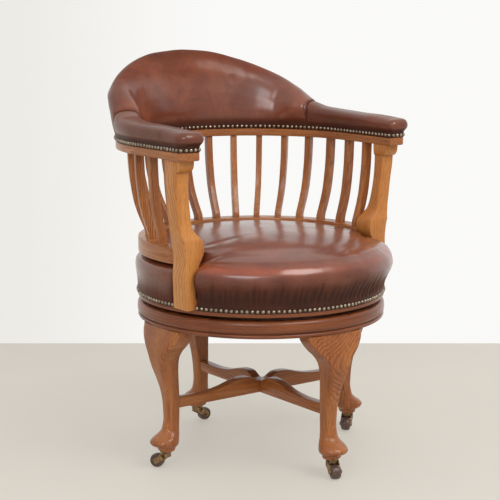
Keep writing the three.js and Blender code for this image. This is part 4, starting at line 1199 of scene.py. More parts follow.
class ChairSeatCushion(bpy.types.Operator):
    """Models the stuffed seat: drawn in at the nails, full in front and pressed down by the rail"""
    bl_idname = "chair.seat_cushion"
    bl_label = "Seat cushion"

    steps: IntProperty(name="Steps", description="Points round the cushion", default=640)
    side_rows: IntProperty(name="Side rows", description="Rows up the side", default=44)
    crown_rows: IntProperty(name="Crown rows", description="Rows over the crown", default=26)
    front_bulge: length("Front bulge", "How far the front stands out", 19.5 * MM)
    side_bulge: length("Side bulge", "How far the sides stand out", 4.4 * MM)
    hem: length("Hem", "Thickness of the leather at the nails", 1.2 * MM)
    gathers: IntProperty(name="Gathers", description="Folds over the nails all round", default=124)

    def row(self, free_radius, free_level, railed_radius=None, railed_level=None):
        """Points all round, where the front is free and where the rail presses the leather."""
        points = []
        for i in range(self.steps):
            angle = TURN * i / self.steps
            railed = railed_at(math.pi - angle) if railed_radius else 0
            radius = mix(free_radius, railed_radius or 0, railed)
            level = mix(free_level, railed_level or 0, railed)
            points.append(around(angle, radius, level, AXIS_Y))
        return points

    def execute(self, context):
        leather = context.scene.chair_leather
        edge, height = stuffing_levels()
        crown = reach_of("lower_rail") - LOWER_RAIL_WIDTH - RAIL_GAP
        railed_top = depth_of("lower_rail")[0] - RAIL_GAP
        underside = depth_of("seat_ring")[1] + UNDERSIDE_GAP
        foot = lip_top() + 0.2 * MM
        rows = [self.row(radius, level) for radius, level in (
            (FRAME_RADIUS * 0.03, underside), (FRAME_RADIUS * 0.5, underside),
            (FRAME_RADIUS - 0.4 * MM, underside), (FRAME_RADIUS, foot), (FRAME_RADIUS + self.hem, foot),
            (BAND_RADIUS, lip_top() + 1.0 * MM), (BAND_RADIUS, edge - 2.5 * MM),
        )]
        sides = numbered(CUSHION_SIDE_SHARES)
        for at in spaced(self.side_rows):
            inward, bulge, rise, railed_inward, railed_bulge, railed_rise = eased(sides, at)
            rows.append(self.row(
                mix(BAND_RADIUS, crown, inward) + self.front_bulge * bulge, edge + height * rise,
                mix(BAND_RADIUS, crown, railed_inward) + self.side_bulge * railed_bulge,
                mix(edge, railed_top, railed_rise),
            ))
        crowns = numbered(CUSHION_CROWN_SHARES)
        for at in spaced(self.crown_rows):
            out, free, railed = eased(crowns, at)
            rows.append(self.row(crown * out, edge + height * free, crown * out, edge + height * railed))
        cushion = finished("seat_cushion_stuffed", loft(rows), "seat", "leather", ["seat_cushion"],
                           [material("chestnut_leather"), material("black_cambric")], 60)
        swollen(cushion, lambda co: self.give(co, crown), SEAT_SWELLING, SEAT_VOXEL)
        reshaped(cushion, [self.dressed(v, leather.gather_depth, leather.crown_ripple)
                           for v in cushion.data.vertices])
        for polygon in cushion.data.polygons:
            under = polygon.center.z < underside + 0.5 * MM and polygon.normal.z < -0.7
            polygon.material_index = 1 if under else 0
        paint(cushion, "stain", self.stain)
        paint(cushion, "rub", self.rub)
        return {"FINISHED"}

    def pleat(self, co):
        """How deep a point lies in the gathers over the nails: 0 outside them, 1 in a fold."""
        rise, angle = on_seat(co)
        free = 1 - railed_at(angle)
        turned = angle - 0.05 * rise + 0.012 * wavering(angle * 14, rise * 2.5, 1.7)
        number = turned * self.gathers / TURN + 0.5 * wavering(angle * 9, 0, 4)
        fold = 0.5 + 0.5 * math.cos(TURN * number)
        own = 0.5 + wavering(math.floor(number + 0.5) * 1.37, 0.3, 8)
        reach = mix(0.34, 0.56, own)
        fade = smooth(rise, 0.0, 0.07) * (1 - smooth(rise, 0.1, reach)) ** 1.3
        return fade * fold ** 1.8 * mix(0.75, 1.15, own) * mix(0.08, 1.0, free)

    def give(self, co, crown):
        """How freely the stuffing swells: not at the nails, the underside or under the rail."""
        rise, angle = on_seat(co)
        out = math.hypot(co.x, co.y - AXIS_Y) / crown
        return smooth(rise, 0.1, 0.4) * (1 - railed_at(angle) * smooth(out, 0.82, 0.97))

    def dressed(self, vert, gathers, ripple):
        """Draws the leather into gathers over the nails and lets the stuffing show on the crown."""
        co = vert.co
        rise = on_seat(co)[0]
        if rise < 0:
            return self.round_post(co)
        swell = ripple * noise.noise(co * 14) * smooth(rise, 0.3, 0.8)
        sunk = POST_SINK * self.by_post(co) * smooth(rise, 0.02, 0.2) * (1 - smooth(rise, 0.6, 0.85))
        return self.round_post(co + vert.normal * (swell - sunk - gathers * self.pleat(co)))

    def round_post(self, co):
        """Draws the leather in where an arm post stands, so that it lies against its inner face."""
        bottom, top = post_levels()
        at = (co.z - bottom) / (top - bottom)
        if at < -0.003 or at > LEATHER_REACH:
            return co.copy()
        near, _, ahead, _, back = post_faces(max(round(at, 3), 0.0))
        limit = near - LEATHER_GAP
        if abs(co.x) <= limit:
            return co.copy()
        free = max(smooth(ahead - co.y, *DRAWN_BEFORE), smooth(co.y - back, *DRAWN_BEHIND))
        return Vector((math.copysign(mix(abs(co.x), limit, 1 - free), co.x), co.y, co.z))

    def by_post(self, co):
        """How close a point is to an arm post: 1 at the post, 0 away from it."""
        half = reach_of("lower_rail") - POST_FOOT_INSET
        x = max(abs(abs(co.x) - half) - POST_HALF_THICKNESS, 0.0)
        front = AXIS_Y - POST_FRONT
        y = max(front - co.y, co.y - front - POST_DEPTH, 0.0)
        return math.exp(-((math.hypot(x, y) / POST_SHADOW) ** 2))

    def stain(self, co):
        """Dark from the nails up to the gathers' tops, as painted shade under the front's bulge that lightens
        towards the right, and darkest, as painted shade, in the folds and beside the posts.
        """
        rise, angle = on_seat(co)
        front = 1 - smooth(abs(angle), 1.1, 1.4)
        right = smooth(angle, 0.1, 0.8)
        ragged = 0.05 * wavering(angle * 9, 0.5, 2)
        reach = mix(0.45, mix(0.7, 0.52, right), front)
        low = 1 - smooth(rise - ragged, mix(-0.1, 0.04, front), reach)
        # Painted shade down the seat's front under its bulge, lighter towards the right
        shadow = low * mix(0.75, mix(1.0, 0.55, right), front)
        # Painted shade beside the posts; the next line adds painted shade in the gathers' folds
        post = 0.75 * self.by_post(co) * (1 - smooth(rise, 0.6, 0.8))
        return min(max(shadow, 0.0) + 0.6 * self.pleat(co) + post, 1.0)

    def rub(self, co):
        """A red band along the front of the crown."""
        rise, angle = on_seat(co)
        band = math.exp(-((rise - 0.625) / 0.06) ** 2)
        front = math.exp(-((angle + 0.75) / 0.5) ** 2)
        uneven = 1.1 + 0.5 * wavering(angle * 5, rise * 9, 3)
        return min(band * mix(0.3, 1.0, front) * (1 - smooth(abs(angle), 1.1, 1.3)) * uneven, 1.0)


# Rails and slats

BACK_CENTRE = 29 * MM
TOP_RAIL_WIDTH = 45 * MM
ARM_REACH = 132 * MM
OUTER_CORNER = 17 * MM
INNER_CORNER = 7 * MM
RAIL_STEPS = 120
LEAST_CORNER = 0.3 * MM
# Where the middle step of a worn edge stands, as a share of the edge
EDGE_STEP = 0.3


def rail_radii():
    outer = reach_of("top_rail")
    return outer, outer - TOP_RAIL_WIDTH


def horseshoe(inset):
    """The top rail's outline, drawn in by an inset, anticlockwise from the right end of the outer arc."""
    outer, inner = rail_radii()
    outer, inner = outer - inset, inner + inset
    centre = AXIS_Y + BACK_CENTRE
    front = AXIS_Y - ARM_REACH + inset
    big, small = max(OUTER_CORNER - inset, LEAST_CORNER), max(INNER_CORNER - inset, LEAST_CORNER)

    def corner(radius, start, x):
        return arc(x, front + radius, radius, start, start + QUARTER, 8)

    return [
        *arc(0, centre, outer, 0, math.pi, RAIL_STEPS),
        *corner(big, math.pi, big - outer),
        *corner(small, 3 * QUARTER, -inner - small),
        *arc(0, centre, inner, math.pi, 0, RAIL_STEPS),
        *corner(small, math.pi, inner + small),
        *corner(big, 3 * QUARTER, outer - big),
    ]


def rail_place(centre_y, radius, level):
    """Where a point lies in a horseshoe rail: along it from the middle of the back, across and up."""
    def place(co):
        x, y = co.x, co.y - centre_y
        if y > 0:
            return math.atan2(x, y) * radius, math.hypot(x, y) - radius, co.z - level
        return math.copysign(QUARTER * radius - y, x), abs(x) - radius, co.z - level
    return place


def edged(outline, low, high, edge):
    """Sections of a board with worn edges, from low to high."""
    return [
        [(x, y, level) for x, y in outline(inset)]
        for inset, level in (
            (edge, low), (EDGE_STEP * edge, low + EDGE_STEP * edge), (0, low + edge), (0, high - edge),
            (EDGE_STEP * edge, high - EDGE_STEP * edge), (edge, high),
        )
    ]


class ChairLowerRail(bpy.types.Operator):
    """Shapes the horseshoe rail that the slats stand on"""
    bl_idname = "chair.lower_rail"
    bl_label = "Lower rail"

    def execute(self, context):
        low, high = depth_of("lower_rail")
        outer = reach_of("lower_rail")
        inner = outer - LOWER_RAIL_WIDTH
        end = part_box("lower_rail")[0].y - AXIS_Y

        def outline(inset):
            far, near = outer - inset, inner + inset
            a, b = math.asin(end / far), math.asin(end / near)
            return [*arc(0, AXIS_Y, far, a, math.pi - a, RAIL_STEPS),
                    *arc(0, AXIS_Y, near, math.pi - b, b, RAIL_STEPS)]

        edge = 1.6 * context.scene.chair_wood.edge_round
        rail = finished("lower_rail_shaped", loft(edged(outline, low, high, edge)), "seat", "oak",
                        ["lower_rail"], [material("slat_oak")])
        lay_grain(rail, rail_place(AXIS_Y, outer, low + GRAIN_SHIFTS["lower_rail"]),
                  segment=RAIL_SEGMENTS["lower_rail"])
        return {"FINISHED"}


SLAT_LEAN_SHARES = [
    [0, 0], [0.045, 0.01], [0.07, 0.05], [0.15, 0.22], [0.27, 0.46], [0.4, 0.66], [0.55, 0.8],
    [0.75, 0.93], [1, 1],
]


# How far in front of the swivel axis the outermost slat stands on the lower rail and the row ends
# under the top rail, and how much of a gap is left between the last slat and that end
SLAT_FOOT_REACH = 38.5 * MM
SLAT_HEAD_REACH = 73.8 * MM
SLAT_LAST_GAP = 0.575
SLAT_ROWS = 34
SLAT_SLIT = 0.1 * MM
# How far the grain of one slat is shifted against the next, along and across
SLAT_GRAIN_SHIFT = 0.27, 0.031


class ChairSlats(bpy.types.Operator):
    """Shapes the slats, which spread and lean out from the lower rail to the top rail"""
    bl_idname = "chair.slats"
    bl_label = "Slats"

    each_side: IntProperty(name="Each side", description="Slats on each side of the middle one", default=8)
    width: length("Width", "Width of a slat", 13 * MM)
    depth: length("Depth", "Depth of a slat", 18 * MM)
    foot_inset: length("Foot inset", "From the lower rail's inner face", 3.5 * MM)
    top_inset: length("Top inset", "From the top rail's inner face", 5 * MM)

    def foot(self, number):
        """Where a slat stands, seen from above, and how far it is turned. The middle one is 0."""
        radius = reach_of("lower_rail") - LOWER_RAIL_WIDTH + self.foot_inset + self.depth / 2
        sweep = QUARTER + math.asin(SLAT_FOOT_REACH / radius)
        place = number / self.each_side
        angle = sweep * mix(place, place ** 3, 0.1)
        return Vector((radius * math.sin(angle), radius * math.cos(angle))), angle

    def head(self, number):
        """Where a slat meets the top rail, seen from above, and how far it is turned."""
        radius = rail_radii()[1] + self.top_inset + self.depth / 2
        quarter = radius * QUARTER
        pitch = (quarter + BACK_CENTRE + SLAT_HEAD_REACH) / (self.each_side + SLAT_LAST_GAP)
        along = abs(number) * pitch
        angle = math.copysign(min(along / radius, QUARTER), number)
        straight = max(along - quarter, 0)
        return Vector((radius * math.sin(angle), BACK_CENTRE + radius * math.cos(angle) - straight)), angle

    def execute(self, context):
        bottom, top = depth_of("lower_rail")[1], depth_of("top_rail")[0]
        edge = context.scene.chair_wood.edge_round * 0.75
        section = rounded([
            (-self.width / 2, -self.depth / 2), (self.width / 2, -self.depth / 2),
            (self.width / 2, self.depth / 2), (-self.width / 2, self.depth / 2),
        ], edge)
        for number in range(-self.each_side, self.each_side + 1):
            (foot, foot_angle), (head, head_angle) = self.foot(number), self.head(number)
            sections = []
            for at in spaced(SLAT_ROWS):
                angle = mix(foot_angle, head_angle, at)
                middle = foot.lerp(head, eased(SLAT_LEAN_SHARES, at)[0])
                c, s = math.cos(angle), math.sin(angle)
                sections.append([
                    (middle.x + across * c + out * s, AXIS_Y + middle.y - across * s + out * c,
                     mix(bottom + SLAT_SLIT, top - SLAT_SLIT, at))
                    for across, out in section
                ])
            name = f"slat_{number + self.each_side + 1:02d}"
            piece = finished(f"{name}_bent", loft(sections), "seat", "oak", [name],
                             [material("slat_oak")])
            turn = Matrix.Rotation(foot_angle, 3, "Z")

            def in_slat(co, number=number, turn=turn, foot=foot):
                local = turn @ Vector((co.x - foot.x, co.y - AXIS_Y - foot.y, 0))
                along, across = SLAT_GRAIN_SHIFT
                return co.z + along * number, local.x + across * number, local.y

            lay_grain(piece, in_slat)
        return {"FINISHED"}


RAIL_BAND_HEIGHT = 11.5 * MM
RAIL_REBATE = 1.8 * MM
REBATE_EASE = 0.6 * MM


class ChairTopRail(bpy.types.Operator):
    """Shapes the horseshoe top rail, which carries the back pad and the arms"""
    bl_idname = "chair.top_rail"
    bl_label = "Top rail"

    def execute(self, context):
        low, high = depth_of("top_rail")
        step = high - RAIL_BAND_HEIGHT
        edge = 1.5 * context.scene.chair_wood.edge_round
        rows = ((edge, low), (EDGE_STEP * edge, low + EDGE_STEP * edge), (0, low + edge),
                (0, step - REBATE_EASE), (REBATE_EASE, step), (RAIL_REBATE, step), (RAIL_REBATE, high))
        sections = [[(x, y, level) for x, y in horseshoe(inset)] for inset, level in rows]
        rail = finished("top_rail_shaped", loft(sections), "seat", "oak", ["top_rail"],
                        [material("slat_oak")])
        place = rail_place(AXIS_Y + BACK_CENTRE, rail_radii()[0], low + GRAIN_SHIFTS["top_rail"])
        lay_grain(rail, place, segment=RAIL_SEGMENTS["top_rail"])
        return {"FINISHED"}


# Back pad and arm pads

# Height of the crest at shares of the way from the middle of the back to a seam
CREST_SHARES = [
    [0, 1], [0.24, 0.96], [0.376, 0.9], [0.526, 0.81], [0.662, 0.7], [0.797, 0.57], [0.88, 0.475],
    [0.955, 0.375], [1, 0.3077],
]
SEAM_ANGLE = math.radians(66.5)
TAPER_FROM = 0.72
BACK_BULGE = 20 * MM
# A scuff in the leather, and a small spot where the stuffing is pulled in
SCUFF_SPOT = Vector((0.03, 0.24, 0.815))
TUCK_SPOT = Vector((0.107, 0.226, 0.772))
ARM_BULGE = 5.5 * MM
# The back pad's section, from its inner foot over the crown to its outer foot: shares of the rail's
# width, of the bulge and of the height
PAD_SHARES = [
    [0, -0.05, 0], [0, -0.17, 0.1], [0, -0.05, 0.25], [0, 0.12, 0.4], [0.04, 0.25, 0.55],
    [0.12, 0.3, 0.72], [0.26, 0.3, 0.87], [0.45, 0.32, 0.965], [0.66, 0.4, 1], [0.88, 0.5, 0.965],
    [1, 0.68, 0.88], [1, 1, 0.74], [1, 0.88, 0.58], [1, 0.5, 0.4], [1, 0.2, 0.18], [1, 0.02, 0],
]
# Half of an arm pad's section, from its foot to its crown, in the same three shares
ARM_PAD_SHARES = [
    [0, 0, 0], [0, -0.7, 0.28], [0, -1.06, 0.52], [0.015, -1.03, 0.66], [0.045, -0.96, 0.78],
    [0.1, -0.85, 0.875], [0.19, -0.66, 0.945], [0.3, -0.42, 0.98], [0.41, -0.19, 0.997], [0.5, 0, 1],
]
HEM_PROUD = 0.7 * MM
HEM_THICK = 1.4 * MM
HEM_GAP = 0.4 * MM
HEM_ROUND = 0.5 * MM
SEAM_GAP = 0.15 * MM
SEAM_DEPTH = 2.2 * MM
SEAM_WIDTH = 2.4 * MM
# Where the sections next to a seam stand, from the seam on
NEAR_SEAM = [0, 0.5 * MM, 1.2 * MM, 2.2 * MM, 3.6 * MM, 5.5 * MM, 8 * MM, 11.5 * MM]
BACK_SWELLING, BACK_VOXEL = 4 * MM, 6 * MM
ARM_SWELLING, ARM_VOXEL = 3 * MM, 5 * MM


def hem_steps(pad_bottom):
    """The hem over the nailed band, from its outer foot inwards: how far out and at what level."""
    foot = pad_bottom - RAIL_BAND_HEIGHT + HEM_GAP
    return [(HEM_PROUD, foot + HEM_ROUND), (HEM_PROUD - HEM_ROUND, foot),
            (HEM_PROUD - HEM_THICK, foot), (HEM_PROUD - HEM_THICK, pad_bottom)]


def back_limit():
    """The angle from the middle of the back to the end of its pad."""
    return SEAM_ANGLE - SEAM_GAP / rail_radii()[0]


def crest_height():
    low, high = depth_of("back_pad")
    return high - low


def on_back(co):
    """A point's height over the rail, and how far it is from the nearer seam."""
    angle = math.atan2(co.x, co.y - (AXIS_Y + BACK_CENTRE))
    return co.z - depth_of("back_pad")[0], (back_limit() - abs(angle)) * rail_radii()[0]


class ChairBackPad(bpy.types.Operator):
    """Models the padded back, whose leather comes down over the rail as a nailed hem"""
    bl_idname = "chair.back_pad"
    bl_label = "Back pad"

    stations: IntProperty(name="Stations", description="Sections round the back", default=150)
    rows: IntProperty(name="Rows", description="Points over each section", default=54)

    def section(self, place, skin, arm_skin):
        """Points over the pad and its hem, where -1 and 1 are the seams and 0 is the middle."""
        outer, inner = rail_radii()
        pad_bottom = depth_of("back_pad")[0]
        limit = back_limit()
        angle = place * limit
        height = crest_height() * softened(CREST_SHARES, abs(place), 0.055 * (1 - abs(place) ** 6))
        bulge = mix(BACK_BULGE, ARM_BULGE, smooth(abs(place), TAPER_FROM, 1))
        like_arm = smooth(abs(place), 0.7, 1)
        seam = math.exp(-(limit - abs(angle)) * outer / SEAM_WIDTH) * SEAM_DEPTH * 0.7
        points = []
        for at in spaced(self.rows):
            across, out, up = (
                mix(a, b, like_arm) for a, b in zip(eased(skin, at), eased(arm_skin, at)))
            radius = inner + TOP_RAIL_WIDTH * across + bulge * out
            radius += (-HEM_PROUD if at < 0.5 else HEM_PROUD) * (1 - smooth(up, 0.0, 0.12))
            sink = seam * smooth(up, 0.0, 0.1)
            radius += sink * (1 - 2 * at)
            points.append((radius, pad_bottom + height * up - sink * smooth(up, 0.7, 1)))
        hem = hem_steps(pad_bottom)
        points.extend((outer + out, level) for out, level in hem)
        points.extend((inner - out, level) for out, level in reversed(hem))
        return [around(angle, radius, level, AXIS_Y + BACK_CENTRE) for radius, level in points]

    def execute(self, context):
        skin = numbered(PAD_SHARES)
        arm_skin = numbered(ARM_PAD_SHARES + [[1 - a, -o, u] for a, o, u in reversed(ARM_PAD_SHARES[:-1])])
        ripple = context.scene.chair_leather.crown_ripple
        ends = [1 - d / (rail_radii()[0] * back_limit()) for d in NEAR_SEAM]
        middle = [0.975 * (2 * at - 1) for at in spaced(self.stations)]
        places = [*(-end for end in ends), *middle, *reversed(ends)]
        pad = finished("back_pad_stuffed", loft([self.section(place, skin, arm_skin) for place in places]),
                       "seat", "leather", ["back_pad"], [material("chestnut_leather")], 60)
        swollen(pad, self.give, BACK_SWELLING, BACK_VOXEL)
        reshaped(pad, [self.dressed(v, ripple) for v in pad.data.vertices])
        paint(pad, "stain", self.stain)
        paint(pad, "dull", self.dull)
        return {"FINISHED"}

    def give(self, co):
        """How freely the stuffing swells: not at the nails or the seams."""
        rise, from_seam = on_back(co)
        return smooth(rise, 8 * MM, 30 * MM) * smooth(from_seam, 4 * MM, 30 * MM)

    def dressed(self, vert, ripple):
        """Ripples of the stuffing, and puckers that run in from the seams."""
        co = vert.co
        rise, from_seam = on_back(co)
        if rise < 4 * MM:
            return co.copy()
        pucker = math.sin(rise / (5.5 * MM) + 2 * noise.noise(co * 22)) * math.exp(-from_seam / (38 * MM))
        pucker *= 0.8 * MM * smooth(from_seam, 1 * MM, 9 * MM)
        tuck = 1.6 * MM * math.exp(-((co - TUCK_SPOT).length / (4.5 * MM)) ** 2)
        swell = ripple * noise.noise(co * 11) + pucker - tuck
        return co + vert.normal * swell * smooth(rise, 4 * MM, 20 * MM)

    def stain(self, co):
        """Dark by the nails and over the crest, with painted shade along the seams' grooves, and one scuff
        near the top.
        """
        rise, from_seam = on_back(co)
        nails = 0.97 * (1 - smooth(rise, -1 * MM, 24 * MM))
        rim = 0.5 * smooth(rise / crest_height(), 0.72, 1.0) + 0.45 * smooth(abs(co.x), 0.2, 0.29)
        # Painted shade in the groove along each seam
        seam = 0.85 * math.exp(-from_seam / (5 * MM))
        scuff = 0.8 * math.exp(-((co - SCUFF_SPOT).length / (7 * MM)) ** 2)
        return min(max(nails, rim, seam, scuff), 1.0)

    def dull(self, co):
        """The wax has gone from the crest and stays where a back rubs."""
        rise = on_back(co)[0] / crest_height()
        return min(0.85 * smooth(rise, 0.52, 0.74) + 0.35 * smooth(-co.x, 0.06, 0.2), 1.0)


ARM_HEIGHT = 52 * MM
# An arm pad's height from the seam to the rail's end
ARM_HEIGHT_SHARES = [
    [0, 1], [0.05, 0.9], [0.136, 0.79], [0.39, 0.69], [0.78, 0.62], [1, 0.55],
]
# Shares of the way in from the edge to the middle line, and of the height: along the arm and at the nose
ARM_DOME_SHARES = [
    [0, 0.52], [0.03, 0.66], [0.09, 0.78], [0.2, 0.875], [0.38, 0.945], [0.6, 0.98], [0.82, 0.997],
    [1, 1],
]
NOSE_DOME_SHARES = [
    [0, 0.52], [0.03, 0.68], [0.08, 0.8], [0.16, 0.9], [0.28, 0.965], [0.45, 0.992], [1, 1],
]
# Shares of the height, up to where the dome starts, and of the bulge
ARM_SIDE_SHARES = [[0, 0], [0.14, 0.35], [0.28, 0.7], [0.42, 1.0], [0.52, 1.06]]
DOME_FROM, DOME_BULGE = ARM_SIDE_SHARES[-1]
ARM_SIDE_ROWS, ARM_DOME_ROWS = 12, 16
# How far behind the rail's end the arm starts to swell into its nose
NOSE_LENGTH = 30 * MM
# Passes that round the nose: over how much of the arm, and from what height over the rail
ROUNDED_PASSES = 14
ROUNDED_LENGTH = 70 * MM
ROUNDED_RISE = 9 * MM


class ChairArmPads(bpy.types.Operator):
    """Models the two stuffed arms, from the seams of the back to their rounded noses"""
    bl_idname = "chair.arm_pads"
    bl_label = "Arm pads"

    arc_steps: IntProperty(name="Arc steps", description="Steps round the back's arc", default=26)
    straight_steps: IntProperty(name="Straight steps", description="Steps along the arm", default=34)
    nose: length("Nose", "How far the leather stands past the rail's end", 11 * MM)

    def path(self):
        """Plan of the arm at +X: each step has its edge point, its way out and its middle point."""
        outer, inner = rail_radii()
        middle = (outer + inner) / 2
        centre = AXIS_Y + BACK_CENTRE
        front = AXIS_Y - ARM_REACH
        start = SEAM_ANGLE + SEAM_GAP / outer
        bend = QUARTER - start
        straight_end = front + OUTER_CORNER
        whole = middle * bend + (centre - front)
        steps = []

        def along(sign):
            radius = outer if sign > 0 else inner
            near = [d / middle for d in NEAR_SEAM]
            rest = [mix(near[-1], bend, i / self.arc_steps) for i in range(1, self.arc_steps)]
            for turn in (*near, *rest):
                angle = start + turn
                edge = around(angle, radius, 0, centre)
                steps_out = Vector((math.sin(angle), math.cos(angle), 0)) * sign
                yield edge, steps_out, around(angle, middle, 0, centre), middle * (angle - start) / whole
            end = front + (OUTER_CORNER if sign > 0 else INNER_CORNER)
            for i in range(self.straight_steps + 1):
                y = mix(centre, end, i / self.straight_steps)
                spine = max(y, straight_end)
                yield (Vector((radius, y, 0)), Vector((sign, 0, 0)), Vector((middle, spine, 0)),
                       (middle * bend + centre - y) / whole)

        steps.extend(along(1))
        spine = Vector((middle, straight_end, 0))
        for radius, x, turn in ((OUTER_CORNER, outer - OUTER_CORNER, 0.0),
                                (INNER_CORNER, inner + INNER_CORNER, -QUARTER)):
            for i in range(1, 13):
                angle = turn - QUARTER * i / 12
                way = Vector((math.cos(angle), math.sin(angle), 0))
                y = front + radius
                edge = Vector((x, y, 0)) + way * radius
                steps.append((edge, way, spine, (middle * bend + centre - edge.y) / whole))
        steps.extend(reversed(list(along(-1))[:-1]))
        return steps

    def rows(self, pad_bottom):
        """Points round the arm at +X: the flat foot, the hem, the side up to the dome, and the dome."""
        steps = self.path()
        outer, inner = rail_radii()
        whole = (outer + inner) / 2 * (QUARTER - SEAM_ANGLE) + BACK_CENTRE + ARM_REACH

        def sink(place):
            """How far the leather draws in at the seam."""
            return SEAM_DEPTH * math.exp(-place * whole / SEAM_WIDTH)

        def height(place):
            return ARM_HEIGHT * eased(ARM_HEIGHT_SHARES, min(place, 1.0))[0]

        def forward(edge, way):
            """How much a point belongs to the nose, which swells more than the sides."""
            return max(-way.y, 0) * smooth(AXIS_Y - ARM_REACH + NOSE_LENGTH - edge.y, 0, NOSE_LENGTH)

        def bulge(nose):
            return ARM_BULGE + (self.nose - ARM_BULGE) * nose

        rows = [[spine + Vector((0, 0, pad_bottom)) for _, _, spine, _ in steps]]
        for out, level in (*reversed(hem_steps(pad_bottom)), (HEM_PROUD, pad_bottom - 1 * MM)):
            rows.append([edge + way * out + Vector((0, 0, level)) for edge, way, _, _ in steps])
        for at in spaced(ARM_SIDE_ROWS):
            up = DOME_FROM * at
            swell = eased(ARM_SIDE_SHARES, up)[0]
            row = []
            for edge, way, _, place in steps:
                out = HEM_PROUD + bulge(forward(edge, way)) * swell - sink(place) * smooth(up, 0, 0.1)
                row.append(edge + way * out + Vector((0, 0, pad_bottom + height(place) * up)))
            rows.append(row)
        for at in spaced(ARM_DOME_ROWS)[1:]:
            inward = at ** 1.3
            row = []
            for edge, way, spine, place in steps:
                nose = forward(edge, way)
                up = mix(eased(ARM_DOME_SHARES, inward)[0], eased(NOSE_DOME_SHARES, inward)[0], nose)
                rim = edge + way * (HEM_PROUD + bulge(nose) * DOME_BULGE - sink(place))
                spot = rim.lerp(spine, inward)
                level = pad_bottom + height(place) * up - sink(place) * smooth(up, 0.6, 1)
                row.append(Vector((spot.x, spot.y, level)))
            rows.append(row)
        return rows

    def closed(self, rows):
        """A closed mesh from the rows, whose ends at the seam and under the pad are filled."""
        bm = bmesh.new()
        row = [bm.verts.new(p) for p in rows[0]]
        for a, b in zip(row, row[1:]):
            bm.edges.new((a, b))
        for points in rows[1:]:
            row = drawn_on(bm, row, points, closed=False)
        bmesh.ops.remove_doubles(bm, verts=bm.verts, dist=0.05 * MM)
        bmesh.ops.dissolve_degenerate(bm, edges=bm.edges, dist=0.02 * MM)
        bmesh.ops.holes_fill(bm, edges=[e for e in bm.edges if e.is_boundary], sides=0)
        return bm

    def execute(self, context):
        pad_bottom = depth_of("arm_pad_right")[0]
        ripple = context.scene.chair_leather.crown_ripple
        rounded_to = AXIS_Y - ARM_REACH + ROUNDED_LENGTH
        rows = self.rows(pad_bottom)

        def give(co):
            """How freely the stuffing swells: not at the nails or the seam."""
            behind = AXIS_Y + BACK_CENTRE - 20 * MM
            return smooth(co.z - pad_bottom, 6 * MM, 24 * MM) * smooth(behind - co.y, 0, 30 * MM)

        def stain(co):
            """Dark by the nails."""
            return max(0.97 * (1 - smooth(co.z, pad_bottom - 1 * MM, pad_bottom + 17 * MM)), 0.38)

        for side, name in ((1, "arm_pad_right"), (-1, "arm_pad_left")):
            bm = self.closed(rows)
            if side < 0:
                bmesh.ops.scale(bm, vec=(-1, 1, 1), verts=bm.verts)
            bmesh.ops.recalc_face_normals(bm, faces=bm.faces)
            loose = [v for v in bm.verts if v.co.z > pad_bottom + ROUNDED_RISE and v.co.y < rounded_to]
            for _ in range(ROUNDED_PASSES):
                bmesh.ops.smooth_vert(bm, verts=loose, factor=0.5, use_axis_x=True, use_axis_y=True,
                                      use_axis_z=True)
            bm.normal_update()
            for vert in bm.verts:
                rise = vert.co.z - pad_bottom
                if rise > 3 * MM:
                    swell = ripple * noise.noise(vert.co * 16) * smooth(rise, 3 * MM, 14 * MM)
                    vert.co += vert.normal * swell
            pad = finished(f"{name}_stuffed", bm, "seat", "leather", [name],
                           [material("chestnut_leather")], 60)
            swollen(pad, give, ARM_SWELLING, ARM_VOXEL)
            paint(pad, "stain", stain)
        return {"FINISHED"}


# Nails

def nail_places(path, pitch):
    """Even places along an open path of (point, way out) pairs."""
    lengths = [0.0]
    for (a, _), (b, _) in zip(path, path[1:]):
        lengths.append(lengths[-1] + (b - a).length)
    count = max(round(lengths[-1] / pitch), 1)
    places = []
    for i in range(count):
        target = lengths[-1] * (i + 0.5) / count
        low = min(max(bisect_right(lengths, target) - 1, 0), len(path) - 2)
        t = (target - lengths[low]) / max(lengths[low + 1] - lengths[low], 1e-9)
        point, way = (a.lerp(b, t) for a, b in zip(path[low], path[low + 1]))
        places.append((point, way.normalized()))
    return places


def nail_heads(places, level, radius, dome):
    """Domed heads, a few dozen faces each, driven in at the places."""
    bm = bmesh.new()
    for point, way in places:
        turn = way.to_track_quat("Z", "Y").to_matrix().to_4x4()
        size = Matrix.Diagonal((radius, radius, dome, 1))
        spot = Matrix.Translation((point.x, point.y, level)) @ turn @ size
        bmesh.ops.create_uvsphere(bm, u_segments=10, v_segments=6, radius=1.0, matrix=spot)
    return bm


BAND_STEPS = 241


class ChairSeatNails(bpy.types.Operator):
    """Drives the nails round the seat, in front of the posts and behind them"""
    bl_idname = "chair.seat_nails"
    bl_label = "Seat nails"

    def execute(self, context):
        nails = context.scene.chair_nails
        level = lip_top() + 0.5 * HEM_HEIGHT
        for name, ends in (("seat_nail_band_front", -1), ("seat_nail_band_rear", 1)):
            low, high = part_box(name)
            edge = (high.y if ends < 0 else low.y) - AXIS_Y
            half = math.acos(min(ends * edge / BAND_RADIUS, 1.0))
            middle = math.pi if ends < 0 else 0.0
            path = []
            for at in spaced(BAND_STEPS):
                angle = middle + mix(-half, half, at)
                way = Vector((math.sin(angle), math.cos(angle), 0))
                path.append((around(angle, BAND_RADIUS, 0, AXIS_Y), way))
            places = nail_places(path, nails.seat_pitch)
            finished(name.replace("_band", "s"), nail_heads(places, level, nails.radius, nails.dome),
                     "seat", "brass", [name], [material("nail_brass")], 80)
        return {"FINISHED"}


